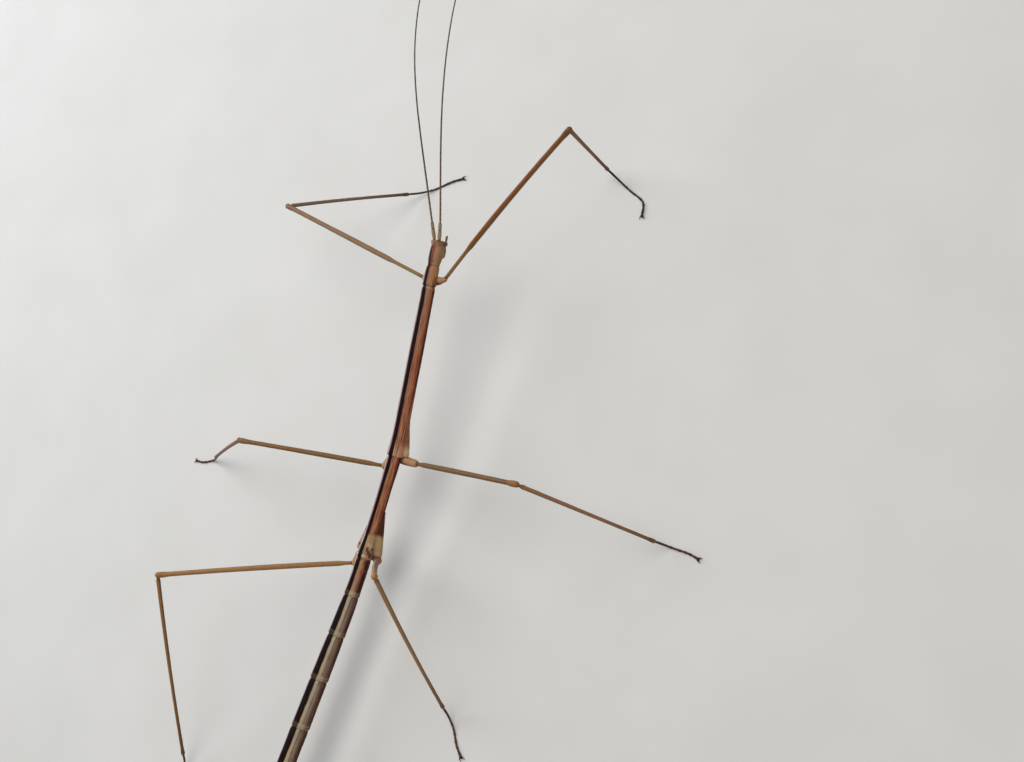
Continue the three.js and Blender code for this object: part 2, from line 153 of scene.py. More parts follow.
class Wire:  # one output socket, which can stand in a sum
    def __init__(self, tree, socket=None):
        self.tree = tree
        self.socket = socket

    def node(self, kind, settings=None, inputs=None, output=0):
        made = self.tree.nodes.new(kind)
        for key, value in (settings or {}).items():
            setattr(made, key, value)
        for key, value in (inputs or {}).items():
            if isinstance(value, Wire):
                self.tree.links.new(value.socket, made.inputs[key])
            else:
                made.inputs[key].default_value = value
        return Wire(self.tree, made.outputs[output])

    def sum(self, operation, *values):
        return self.node("ShaderNodeMath", {"operation": operation}, dict(enumerate(values)))

    def __add__(self, other):
        return self.sum("ADD", self, other)

    def __radd__(self, other):
        return self.sum("ADD", other, self)

    def __sub__(self, other):
        return self.sum("SUBTRACT", self, other)

    def __rsub__(self, other):
        return self.sum("SUBTRACT", other, self)

    def __mul__(self, other):
        return self.sum("MULTIPLY", self, other)

    def __rmul__(self, other):
        return self.sum("MULTIPLY", other, self)

    def __abs__(self):
        return self.sum("ABSOLUTE", self)

    def rises(self, low, high):  # 0 below low, 1 above high, smooth between
        inputs = {"Value": self, "From Min": low, "From Max": high}
        return self.node("ShaderNodeMapRange", {"interpolation_type": "SMOOTHSTEP"}, inputs)

    def falls(self, low, high):
        return 1 - self.rises(low, high)

    def fades(self, start, end):  # 0 at the start, 1 at the end, whichever of the two is the larger
        return self.rises(start, end) if start < end else self.falls(end, start)

    def colours(self, shades, full=1):  # shades of (value, red, green, blue), with values up to a full one
        ramp = self.node("ShaderNodeValToRGB", inputs={0: self * (1 / full)})
        stops = ramp.socket.node.color_ramp.elements
        while len(stops) < len(shades):
            stops.new(0.5)
        for stop, (value, *colour) in zip(stops, shades):
            stop.position = value / full
            stop.color = tint(*colour)
        return ramp

    def mix(self, first, second, share):
        return self.node("ShaderNodeMix", {"data_type": "RGBA"}, {0: share, 6: first, 7: second}, 2)

    def towards(self, other, share):  # this colour mixed with another one
        return self.mix(self, other, share)


def attribute(wire, name):
    return wire.node("ShaderNodeAttribute", {"attribute_name": name}, output=2)


def inMillimetres(wire):  # Object coordinates
    place = wire.node("ShaderNodeTexCoord", output=3)
    return wire.node("ShaderNodeVectorMath", {"operation": "MULTIPLY"}, {0: place, 1: [1 / mm] * 3})


def noiseAt(wire, place, scale, detail=3, roughness=0.55):
    inputs = {"Vector": place, "Scale": scale, "Detail": detail, "Roughness": roughness}
    return wire.node("ShaderNodeTexNoise", inputs=inputs)


def grain(wire, scale, detail):  # even noise from 0 to 1, with its scale per millimetre
    return noiseAt(wire, inMillimetres(wire), scale, detail)


halfGirth = 4.4  # round one side of the body, which the field "around" counts from 0 to 1


def streaks(wire, fields, across, length, detail=3, roughness=0.55, shift=0):  # noise drawn out lengthwise
    inputs = {0: fields["around"] * (halfGirth / across), 1: (fields["along"] + shift) * (1 / length)}
    return noiseAt(wire, wire.node("ShaderNodeCombineXYZ", inputs=inputs), 1, detail, roughness)


# How strongly a coat covers: its strength times all its limits. A limit is a field's name, alone or with the
# two values between which the coat fades in. It can also be ("line", degrees, near, far) for a line drawn
# lengthwise, ("spot", at, long, angle, wide) for a soft oval, or a "blotch", a spot with a wavy edge.
def coverage(fields, strength, *limits):
    share = strength
    for limit in limits:
        name, *numbers = (limit,) if isinstance(limit, str) else limit
        if name == "line":
            part = abs(fields["degrees"] - numbers[0]).falls(*numbers[1:])
        elif name in ("spot", "blotch"):
            at, long, angle, wide = numbers
            back = (fields["along" if name == "spot" else "place"] - at) * (1 / long)
            across = (fields["degrees"] - angle) * (1 / wide)
            part = (back * back + across * across).falls(0.35, 1.3)
        else:
            part = fields[name].fades(*numbers) if numbers else fields[name]
        share = share * part
    return share


def coated(colour, fields, coats):  # each coat has a tone, a strength and any limits
    for tone, *cover in coats:
        colour = colour.towards(tint(*tone), coverage(fields, *cover))
    return colour


def newMaterial(name):
    material = bpy.data.materials.new(name)
    material.use_nodes = True
    shader = material.node_tree.nodes["Principled BSDF"]
    return material, shader, Wire(material.node_tree)


def plug(wire, shader, name):
    wire.tree.links.new(wire.socket, shader.inputs[name])


def finishShader(shader, colour, roughness, bump, specular):
    height, depth, strength = bump  # with the depth in millimetres
    inputs = {"Height": height, "Distance": depth * mm, "Strength": strength}
    plug(colour, shader, "Base Color")
    plug(roughness, shader, "Roughness")
    plug(colour.node("ShaderNodeBump", inputs=inputs), shader, "Normal")
    shader.inputs["Specular IOR Level"].default_value = specular


class Course:  # a path through points, with the distance walked along it
    def __init__(self, points):
        self.points = points
        self.walked = [0]
        for start, end in zip(points, points[1:]):
            self.walked.append(self.walked[-1] + (end - start).length)
        self.length = self.walked[-1]

    def at(self, along, hinge=None):
        i = min(len(self.points) - 2, max(0, bisect.bisect(self.walked, along) - 1))
        forward = (self.points[i + 1] - self.points[i]).normalized()
        place = self.points[i] + forward * (along - self.walked[i])
        side = hinge.copy() if hinge else worldUp.cross(forward)
        side = (side - forward * side.dot(forward)).normalized()
        up = side.cross(forward) if hinge else forward.cross(side)
        return place, side, up


def walk(start, length, headingAt, riseAt, step=0.1):
    count = math.ceil(length / step)
    points = [start]
    for i in range(count):
        middle = (i + 0.5) * length / count
        points.append(points[-1] + direction(headingAt(middle), riseAt(middle)) * (length / count))
    return Course(points)


def bowed(start, end, hinge, bow):
    across = hinge.cross(end - start).normalized()
    middle = (start + end) / 2 + across * 2 * bow
    first, last = between(start, middle, 2 / 3), between(end, middle, 2 / 3)
    return Course(geometry.interpolate_bezier(start, first, last, end, 60))


def curved(corners):  # a smooth course through a few corners
    ends = [2 * corners[0] - corners[1], *corners, 2 * corners[-1] - corners[-2]]
    points = [corners[0]]
    for before, start, end, after in zip(ends, ends[1:], ends[2:], ends[3:]):
        gaps = [math.sqrt((b - a).length) for a, b in ((before, start), (start, end), (end, after))]
        leave = (start - before) / gaps[0] - (end - before) / (gaps[0] + gaps[1]) + (end - start) / gaps[1]
        arrive = (end - start) / gaps[1] - (after - start) / (gaps[1] + gaps[2]) + (after - end) / gaps[2]
        handles = start + leave * gaps[1] / 3, end - arrive * gaps[1] / 3
        points += geometry.interpolate_bezier(start, *handles, end, 24)[1:]
    return Course(points)


def newShell():
    bm = bmesh.new()
    for name in ("along", "around", "ringGap", "flank"):
        bm.verts.layers.float.new(name)
    return bm


# Wraps a grid into a closed tube round a course. section(along, angle) gives the outline at a stop, where
# angle 0 is the back and grows to the right. Both ends close in a point where the section is nothing.
def addTube(bm, course, stops, sides, section, hinge=None, marks=None, material=0, floor=None):
    layers = bm.verts.layers.float.values()
    made = bmesh.ops.create_grid(bm, x_segments=sides, y_segments=len(stops) - 1, size=1)["verts"]
    for vert in made:
        angle = vert.co.x * math.pi
        along = stops[round((vert.co.y + 1) / 2 * (len(stops) - 1))]
        x, z = section(along, angle)
        place, side, up = course.at(along, hinge)
        vert.co = place + side * x + up * z
        if floor is not None:
            vert.co.z = max(vert.co.z, floor)
        values = marks(along, angle) if marks else (along / course.length, abs(angle) / math.pi, 0, 0)
        for layer, value in zip(layers, values):
            vert[layer] = value
    bmesh.ops.remove_doubles(bm, verts=made, dist=0.0004)
    made = [vert for vert in made if vert.is_valid]
    faces = list({face for vert in made for face in vert.link_faces})
    bmesh.ops.recalc_face_normals(bm, faces=faces)
    for face in faces:
        face.material_index = material


def finishPiece(bm, name, materials, slot, *replaced):
    bmesh.ops.scale(bm, vec=(mm, mm, mm), verts=bm.verts)
    piece = addMesh(bm, name, materials)
    piece.data.polygons.foreach_set("use_smooth", [True] * len(piece.data.polygons))
    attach(piece, "root")
    if replaced:
        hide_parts(*replaced)


toFrame = Vector((0.3288, 14.7152, 0))  # from the place where the walked lines start to the frame
body = {
    "headTip": Vector((0.28, 25.2, 15.5)),
    "pitch": 8,
    "bend": 7.1,
    "bendFrom": 29.4,
    "bendTo": 41.4,
    "levelFrom": 49.6,
    "levelTo": 67.6,
    "headTurn": 3.4,
    "headTurnTo": 11,
    "depth": 0.92,
    "bellyDepth": 0.865,
    "inset": 0.02,
    "sides": 72,
    "headLength": 4.45,
    "headWidth": 2.66,
    "headDepth": 0.86,
    # length, width at the front, waist and rear, length of the rear widening
    "segments": {
        "prothorax": (3.5, 2.34, 2.4, 2.46, 1.4),
        "mesothorax": (28.8, 2.38, 2.54, 3.0, 3.8),
        "metathorax": (17.7, 2.5, 2.3, 3.0, 4.4),
        "abdomen_1": (6.6, 2.7, 2.68, 2.84, 1.4),
        "abdomen_2": (7.0, 2.84, 3.0, 3.12, 1.6),
        "abdomen_3": (7.7, 3.08, 3.18, 3.28, 1.8),
        "abdomen_4": (8.3, 3.22, 3.22, 3.32, 1.8),
        "abdomen_5": (8.3, 3.26, 3.2, 3.26, 1.8),
        "abdomen_6": (8.0, 3.18, 3.0, 3.06, 1.8),
        "abdomen_7": (6.8, 2.94, 2.7, 2.76, 1.6),
        "abdomen_8": (4.6, 2.6, 2.36, 2.38, 1.2),
        "abdomen_9": (3.6, 2.2, 2.04, 2.08, 1.0),
        "abdomen_10": (2.8, 1.96, 1.8, 1.5, 0.8),
    },
    "headProfile": [(0, 0), (0.02, 0.22), (0.06, 0.4), (0.14, 0.6), (0.36, 0.78), (0.75, 0.88), (1.3, 0.93),
                    (2.0, 0.95), (2.6, 0.95), (3.3, 0.915), (3.9, 0.865), (4.25, 0.83), (4.45, 0.79)],
    # side plates in front of the coxae: start and end (back, out, down), slim and wide radius
    "flanks": [
        ((30.4, 0.55, 0.45), (36.5, 1.4, 0.85), 0.42, 0.8),
        ((46.0, 0.6, 0.45), (53.6, 1.75, 0.95), 0.42, 0.9),
    ],
    "flankBlend": 0.3,
    "flankEnd": 0.5,
    # the lean of the back's middle line to the left in degrees: at the tip, then each change and its stretch
    "lean": -21,
    "leanSteps": [(6, 2.2, 5.4), (2, 5.4, 7.4), (8, 7.4, 10), (2, 31, 38), (-7.5, 46, 53), (1.5, 54, 57)],
}


def bodyHeading(along):
    looking = body["headTurn"] * (1 - ease(along, 0, body["headTurnTo"]))
    return 180 + looking + body["bend"] * ease(along, body["bendFrom"], body["bendTo"])


def bodyRise(along):
    return -body["pitch"] * (1 - ease(along, body["levelFrom"], body["levelTo"]))


rings = [body["headLength"]]
for size in body["segments"].values():
    rings.append(rings[-1] + size[0])
bodyLength = rings[-1]
bodyCourse = walk(body["headTip"] + toFrame, bodyLength, bodyHeading, bodyRise, 0.05)


def bodyWidth(along):  # full width, and the width that the back keeps where the sides flare
    if along < rings[0]:
        profile = body["headProfile"]
        for (start, startShare), (end, endShare) in zip(profile, profile[1:]):
            if along <= end:
                width = between(startShare, endShare, (along - start) / (end - start)) * body["headWidth"]
                return width, width
    i = min(len(rings) - 2, bisect.bisect(rings, along) - 1)
    name, (length, front, waist, rear, flare) = list(body["segments"].items())[i]
    inside = along - rings[i]
    stops = [
        (0, front * 0.93),
        (0.1, front * 0.945),
        (min(0.6, length * 0.12), front),
        ((length - flare) * 0.45, waist),
        (length - flare, waist * 1.02),
        (length - 0.5, rear),
        (length - 0.1, rear * 0.975),
        (length, rear * 0.93),
    ]
    width = profileAt(stops, inside)
    kept = min(width, waist * 1.03) if "thorax" in name else width
    return width, between(width, kept, 0.6)


def nearestRing(along):
    return min(abs(along - ring) for ring in rings)


def toNextRing(along):
    return min([ring - along for ring in rings if ring >= along] or [3])


def roll(along):  # the back's middle line leans to the left, most at the head and the abdomen
    return sum((change * ease(along, start, end) for change, start, end in body["leanSteps"]), body["lean"])


def beside(back, out, up):  # a point by the body: back from the head, out to the right, and up
    place, side, upward = bodyCourse.at(back)
    return place + side * out + upward * up


relief = {
    # height, where round the body in degrees, and width
    "keel": (0.03, 97, 4),  # where back plates meet side plates
    "fold": (-0.045, 108, 5),
    # height, distance in front of a ring, and width
    "collar": (0.03, 0.32, 0.16),
    "groove": (-0.05, 0, 0.07),
    # height, where along, and width
    "ridges": [(0.02, 54.02, 0.08), (0.02, 53.62, 0.08), (0.02, 53.2, 0.08)],
    "ridgesTo": (70, 95),
    "trunkFrom": (4.4, 5.0),
    # height, and how often along and round
    "waves": (0.014, 0.7, 1.6),
    "fullWidth": 1.2,
    "tailRounding": 0.9,
}
headRelief = {
    # places (along, degrees round), reach along and round, height of the rim and depth of the middle
    "sockets": ([(0.3, 33), (0.3, -49)], 0.4, 21, 0.1, 0.12),
    "orbits": ([(0.5, 97), (0.5, -97)], 0.52, 26, 0.17, 0.1),
    # height, where along and width, and where round and width
    "cheek": ((0.07, 2.2, 0.9), (1, 112, 24)),
    "brow": ((0.035, 0.95, 0.2), (1, 40, 16)),
    "nape": (-0.05, 3.95, 0.16),
    # the seam down the crown, and the fork that it opens into in front
    "seam": (-0.025, 0, 4),
    "seamFrom": (1.0, 1.6),
    "fork": (-0.02, 4),
    "forkTo": (1.3, 1.6),
    "forkDegrees": (14, 40),
    "forkOpens": (1.5, 0.6),
}


def flankReach(along, outward):  # how far a side plate stands out from the axis in one direction
    for start, end, slim, wide in body["flanks"]:
        if start[0] < along < end[0]:
            share = (along - start[0]) / (end[0] - start[0])
            closing = min(1, (end[0] - along) / body["flankEnd"])
            radius = between(slim, wide, share) * math.sqrt(1 - (1 - closing) ** 2)
            centre = Vector((between(start[1], end[1], share), -between(start[2], end[2], share)))
            ahead = centre.dot(outward)
            inside = radius ** 2 - centre.length_squared + ahead ** 2
            return ahead + math.sqrt(inside) if inside > 0 else 0
    return 0


def fromMiddle(along, angle):  # degrees round from the back's middle line, the same on both sides
    degrees = abs(math.degrees(angle) - roll(along))
    return min(degrees, 360 - degrees)


def ringed(along, around, spots, reachAlong, reachRound, rim, dip):  # a raised rim round each spot
    push = 0
    for back, at in spots:
        reach = math.hypot((along - back) / reachAlong, (around - at) / reachRound)
        push += swell(reach, rim, 1, 0.28) - swell(reach, dip, 0, 0.6)
    return push


def headPush(along, angle, degrees):
    around = math.degrees(angle)
    push = ringed(along, around, *headRelief["sockets"]) + ringed(along, around, *headRelief["orbits"])
    for name, value in (("cheek", abs(around)), ("brow", degrees)):
        lengthwise, crosswise = headRelief[name]
        push += swell(along, *lengthwise) * swell(value, *crosswise)
    push += swell(along, *headRelief["nape"])
    push += swell(degrees, *headRelief["seam"]) * ease(along, *headRelief["seamFrom"])
    shut, opened = headRelief["forkOpens"]
    fork = between(*headRelief["forkDegrees"], ease(shut - along, 0, shut - opened))
    depth, width = headRelief["fork"]
    return push + swell(degrees, depth, fork, width) * (1 - ease(along, *headRelief["forkTo"]))


def skinPush(along, angle, width):  # how far the skin's relief stands out
    degrees = fromMiddle(along, angle)
    push = swell(degrees, *relief["keel"]) + swell(degrees, *relief["fold"])
    push *= ease(along, *relief["trunkFrom"])
    if along > rings[1] - 1:
        push += swell(toNextRing(along), *relief["collar"])
    if along < bodyLength - 1:
        push += swell(nearestRing(along), *relief["groove"])
    onBack = 1 - ease(degrees, *relief["ridgesTo"])
    push += sum(swell(along, *ridge) for ridge in relief["ridges"]) * onBack
    if along < body["headLength"]:
        push += headPush(along, angle, degrees)
    height, often, oftenRound = relief["waves"]
    at = Vector((along * often, math.sin(angle) * oftenRound, math.cos(angle) * oftenRound))
    push += height * noise.noise(at) - body["inset"]
    return push * min(1, width / relief["fullWidth"])


def bodySection(along, angle):
    width, kept = bodyWidth(along)
    push = skinPush(along, angle, width)
    trunkDepth = body["depth"] if abs(angle) < math.pi / 2 else body["bellyDepth"]
    depth = between(body["headDepth"], trunkDepth, ease(along, *relief["trunkFrom"]))
    rounding = relief["tailRounding"]
    start = bodyLength - rounding
    close = math.sqrt(max(0, 1 - ((along - start) / rounding) ** 2)) if along > start else 1
    x = math.sin(angle) * (width / 2 + push) * close
    z = math.cos(angle) * (kept / 2 * depth + push) * close
    reach, own = flankReach(along, Vector((abs(math.sin(angle)), math.cos(angle)))), math.hypot(x, z)
    blend = body["flankBlend"]
    if reach and reach > own - blend:
        soft = max(0, blend - abs(reach - own)) / blend
        grown = max(reach, own) + soft * soft * blend / 4
        x, z = x * grown / own, z * grown / own
    return x, z


bodySpacing = {
    "tip": (0, 0.004, 0.012, 0.025),
    "stretches": [(0.04, 0.4, 0.04), (0.4, 4.6, 0.08), (4.6, 8.2, 0.2), (8.2, 30.2, 0.6), (30.2, 37.4, 0.17),
                  (37.4, 46, 0.6), (46, 53, 0.2), (53, 55.2, 0.1), (55.2, bodyLength - 1, 0.6)],
    "ringSteps": [(0.05, range(-8, 4)), (0.12, range(-8, 8))],
    "tailSteps": 12,
    "least": 0.03,
}


def bodyStops():
    stops = set(bodySpacing["tip"])
    for low, high, step in bodySpacing["stretches"]:
        count = math.ceil((high - low) / step)
        stops.update(low + i * (high - low) / count for i in range(count))
    for step, steps in bodySpacing["ringSteps"]:
        stops.update(ring + i * step for ring in rings[:-1] for i in steps)
    tail, count = relief["tailRounding"], bodySpacing["tailSteps"]
    stops.update(bodyLength - tail + tail * math.sin(math.pi / 2 * i / count) for i in range(count + 1))
    kept = [0]
    for stop in sorted(stops):
        if stop - kept[-1] > bodySpacing["least"] or 0 < stop < 0.04 or stop > bodyLength - 0.2:
            kept.append(stop)
    kept[-1] = bodyLength
    return kept


def bodyMarks(along, angle):
    outward = Vector((abs(math.sin(angle)), math.cos(angle)))
    stands = max(0, flankReach(along, outward) - bodyWidth(along)[0] / 2)
    return along, fromMiddle(along, angle) / 180, min(3, toNextRing(along)), stands


tones = {
    "rose": (132, 70, 50),
    "sand": (172, 132, 98),
    "tan": (154, 106, 74),
    "amber": (182, 130, 84),
    "orange": (180, 108, 70),
    "rust": (160, 84, 50),
    "umber": (108, 58, 36),
    "dark": (66, 27, 14),
    "olive": (150, 122, 78),
    "cream": (182, 170, 148),
    "gold": (112, 88, 56),
    "greyBrown": (126, 98, 82),
    "wine": (56, 30, 24),
    "belly": (132, 104, 84),
    "dusk": (104, 74, 64),
}
bands = {  # for each stretch of the body, degrees from the back's middle line and the tone there
    "head": [(0, "rose"), (26, "rose"), (40, "tan"), (62, "sand"), (84, "olive"), (112, "olive"),
             (150, "belly")],
    "neck": [(0, "umber"), (20, "umber"), (30, "tan"), (50, "amber"), (84, "amber"), (108, "olive"),
             (150, "belly")],
    "chest": [(0, "umber"), (20, "umber"), (30, "tan"), (40, "orange"), (56, "orange"), (66, "rust"),
              (78, "rust"), (88, "dark"), (104, "dark"), (118, "dusk"), (150, "belly")],
    "waist": [(0, "rust"), (26, "sand"), (46, "sand"), (54, "rust"), (68, "umber"), (76, "wine"),
              (102, "wine"), (116, "dusk"), (150, "belly")],
    "abdomen": [(0, "greyBrown"), (25, "sand"), (30, "cream"), (43, "cream"), (49, "gold"), (57, "gold"),
                (64, "greyBrown"), (82, "dusk"), (94, "wine"), (108, "wine"), (118, "dusk"), (150, "belly")],
}
bandsFrom = [(4.1, 4.7), (7.4, 9.0), (54.3, 55.0), (60.0, 61.2)]  # where each stretch takes over
bodyStreaks = {  # across, length, detail, roughness and shift
    "broad": (1.1, 4.5),
    "fine": (0.16, 1.3, 4, 0.65),
    "thread": (0.1, 3.2, 2),
    "mottle": (0.3, 0.42, 3, 0.6),
    "strand": (0.22, 4.2, 3, 0.6, 31),
    "ribbon": (0.38, 5.5, 2, 0.55, 57),
}
sway = {"along": 0.9, "round": 12, "ragged": 5}  # how far the streaks push the edges of the markings
weights = {  # a field made of another one: base, amount and the field
    "threaded": (0.5, 0.5, "thread"),
    "grained": (0.4, 0.7, "fine"),
    "patchy": (0.25, 0.6, "fine"),
    "glossy": (0.35, 0.4, "fine"),
    "bare": (1, -1, "stripe"),
    "nearlyBare": (1, -0.9, "stripe"),
    "bareBand": (1, -0.86, "stripe"),
    "seamDepth": (0.5, 0.3, "belly"),
}
areas = {  # stretches that several coats share
    "chest": [("along", 8, 12), ("along", 54, 52)],
    "rear": [("along", 37, 38.4), ("along", 50, 47.5)],
    "streaked": [("along", 26, 32), ("along", 50.5, 49.5), ("degrees", 24, 32), ("degrees", 86, 72)],
    "belly": [("along", 60.5, 61.5)],
    "pale": ["belly", ("degrees", 12, 20), ("degrees", 50, 42)],
    "brown": ["belly", ("degrees", 36, 48), ("degrees", 100, 88)],
}
# The dark line low on each side, which curls up to the back at the rear of the mesothorax and gets narrower
sideLine = {"degrees": 108, "climb": (56, 19, 36), "solid": 2, "reach": 15, "narrower": (10, 22, 28)}
backStripe = {
    "halfWidth": 5.5,
    # each change of the half width in degrees, and its stretch
    "steps": [(5, 1.6, 4.2), (2, 4.6, 6), (5, 7.6, 9), (2, 16, 12), (-2.5, 32, 51), (5, 54, 56),
              (4, 60.5, 63)],
    "edge": (4.5, -2),
    "starts": [(0.88, 0.8, 1.6), (0.12, 3.6, 5.5)],
    "tones": ((30, 11, 8), (10, 4, 4)),
    "toEdge": (14, 0),
    "worn": [((36, 30, 28), 0.6, "belly", ("degrees", 9, 2), ("fine", 0.35, 0.6))],
}
ringBand = {  # the pale band in front of each ring, with limits on the distance to the ring
    "stretches": [
        (0.35, ("ringGap", 1.2, 0.86)),
        (0.6, ("ringGap", 0.86, 0.72), ("ringGap", 0.5, 0.6)),
        (0.6, ("ringGap", 0.42, 0.3), ("ringGap", 0.1, 0.18)),
    ],
    "sides": [(0.35, ("degrees", 116, 96)), (0.65, ("degrees", 74, 48))],
}
collar = {"along": 8.1, "arch": 0.4, "archAt": 100}  # the pale arch behind the prothorax
spots = {  # where along and reach, degrees round and reach, after the tone where each has its own
    "pale": [(51.9, 0.4, 46, 9), (52.1, 0.45, 66, 8), (53.9, 0.3, 30, 16)],
    "dark": [(52.7, 0.5, 44, 9), (53.2, 0.45, 58, 9), (53.6, 0.5, 74, 12), (52.5, 0.35, 80, 8)],
    "ring": [((184, 146, 78), 55.5, 0.8, 33, 13), ((150, 56, 44), 56.5, 1.0, 58, 16),
             ((178, 126, 118), 58.5, 1.2, 40, 14), ((62, 34, 46), 55.0, 0.5, 62, 18),
             ((92, 44, 34), 59.0, 1.5, 58, 10)],
    "front": [((136, 68, 42), 7.2, 1.1, 84, 24), ((52, 20, 16), 7.8, 0.45, 87, 12),
              ((108, 62, 66), 3.4, 1.1, 15, 7), ((150, 108, 104), 7.1, 0.8, 21, 7),
              ((126, 74, 54), 0.4, 0.9, 40, 70)],
}
markings = [  # under the stripe
    ((164, 128, 100), 0.45, ("along", 8, 9), ("along", 17, 13), ("degrees", 84, 64)),
    # lengthwise threads on the thorax, rusty and dark
    ((200, 108, 64), 0.6, "chest", ("thread", 0.5, 0.64), ("degrees", 74, 50)),
    ((84, 36, 22), 0.6, "chest", ("thread", 0.48, 0.36)),
    ((116, 46, 30), 0.55, "chest", ("strand", 0.54, 0.62), ("degrees", 90, 76)),
    ((186, 146, 112), 0.45, "chest", ("strand", 0.46, 0.38), ("degrees", 84, 70)),
    # beyond the side line, and the line
    ((158, 108, 72), 1, "threaded", ("beyondLine", 2, 10), ("along", 20, 25), ("along", 36.8, 36.4)),
    ((54, 20, 12), 0.9, "sideLine", ("along", 8, 11), ("along", 35, 34)),
    # pale rear of the mesothorax, widest on the side plates
    ((204, 154, 118), 1, "grained", ("along", 33.8, 35.6), ("along", 36.7, 36.5)),
    ((206, 184, 146), 0.85, ("along", 34.4, 35.6), ("along", 36.8, 36.5), ("flank", 0.08, 0.35)),
    ((186, 92, 58), 0.5, ("spot", 34.5, 1.1, 44, 7)),
    # fine lines along the metathorax
    ((150, 122, 92), 0.7, ("line", 22, 2, 5), ("along", 36.8, 37.4), ("along", 47, 42)),
    ((96, 44, 28), 0.5, "rear", ("line", 73, 1.5, 6), ("along", 46, 41)),
    ((48, 24, 14), 0.85, "rear", ("line", 91, 2, 8)),
    ((148, 92, 66), 0.6, ("spot", 48.8, 2.2, 60, 44)),
    ((86, 36, 24), 0.6, "streaked", ("ribbon", 0.47, 0.41)),
    ((222, 148, 106), 0.5, "streaked", ("ribbon", 0.53, 0.6)),
    ((204, 118, 88), 0.5, "rear", ("strand", 0.5, 0.6), ("degrees", 62, 50)),
    ((200, 146, 88), 0.5, "rear", ("thread", 0.55, 0.65), ("degrees", 72, 60)),
    ((92, 38, 24), 0.55, "rear", ("strand", 0.48, 0.42), ("degrees", 30, 44)),
    ((82, 46, 28), 0.8, ("along", 46.5, 48.5), ("along", 50.2, 49.6), ("degrees", 78, 90)),
    # olive plate across the rear of the metathorax, a paler ridge and side lobes behind it
    ((188, 158, 114), 0.85, ("place", 49.8, 50.6), ("place", 52.9, 52.2)),
    ((170, 138, 104), 0.75, ("place", 52.3, 52.8), ("along", 54.5, 54.3)),
    ((186, 146, 118), 0.85, ("along", 52.2, 52.7), ("flank", 0.05, 0.25)),
    # pale spots on it, and a dark V
    *[((206, 190, 160), 0.8, ("spot", *place)) for place in spots["pale"]],
    *[((72, 28, 18), 0.85, ("spot", *place)) for place in spots["dark"]],
    # blotches on the first abdomen ring
    *[(tone, 1, "patchy", ("blotch", *place)) for tone, *place in spots["ring"]],
    # the abdomen: gold by the rings, a dark gold line, and streaks in the cream and the brown
    ((178, 146, 88), 0.5, "belly", ("ringGap", 2.2, 1.0), ("line", 36, 6.7, 12.9)),
    ((150, 156, 124), 0.25, "belly", ("mottle", 0.5, 0.7), ("degrees", 52, 46)),
    ((140, 112, 70), 0.7, "belly", ("line", 53, 1, 4), ("thread", 0.35, 0.5)),
    ((196, 166, 106), 0.5, "pale", ("ribbon", 0.5, 0.6)),
    ((150, 148, 122), 0.35, "pale", ("ribbon", 0.48, 0.4)),
    ((84, 58, 42), 0.55, "brown", ("strand", 0.49, 0.43)),
    ((156, 128, 108), 0.4, "brown", ("ribbon", 0.52, 0.6)),
]
overlays = [  # over the stripe
    # the rings' pale bands and dark seams, and the collar
    ((184, 164, 134), 1, "band", "bareBand", ("along", 54.6, 56)),
    ((44, 26, 22), 1, "seamDepth", ("ringGap", 0.11, 0.03)),
    ((190, 164, 160), 0.5, "nearlyBare", ("fromCollar", 0.2, 0.04), ("degrees", 84, 56)),
    # blotches on the prothorax and the head
    *[(tone, 0.65, "bare", ("blotch", *place)) for tone, *place in spots["front"]],
    # an even tone on the face, where the streaks would run together
    ((140, 96, 68), 0.85, ("along", 1.2, 0.25)),
    # streaks and flecks
    ((212, 182, 150), 0.26, "nearlyBare", "offFace", ("fine", 0.5, 0.78)),
    ((50, 26, 18), 0.3, "nearlyBare", "offFace", ("mottle", 0.54, 0.74)),
    # a painted reflection of the sky: a pale sheen painted into the colour where the back turns away from
    # view, warm on the head and cool behind it
    ((186, 172, 158), 0.7, "sheen", "bare", ("degrees", 76, 60), ("along", 12, 6)),
    ((196, 184, 206), 0.7, "sheen", "bare", ("degrees", 76, 60), ("along", 6, 12)),
]
gloss = {  # the clear coat, strongest along the edge of the back
    "back": [0.2, ("degrees", 74, 56), ("along", 2, 9)],
    "rim": [1, "glossy", ("degrees", 30, 44), ("degrees", 74, 56)],
    "dull": [0.75, ("along", 36.5, 38.5), ("along", 61, 57)],
    "roughness": 0.3,
    "refraction": 1.7,
}


def stripeDown(fields):
    along, degrees = fields["along"], fields["degrees"]
    half = backStripe["halfWidth"]
    for change, start, end in backStripe["steps"]:
        half = half + change * along.fades(start, end)
    drawn = sum(amount * along.rises(start, end) for amount, start, end in backStripe["starts"])
    return (degrees - half).fades(*backStripe["edge"]) * drawn


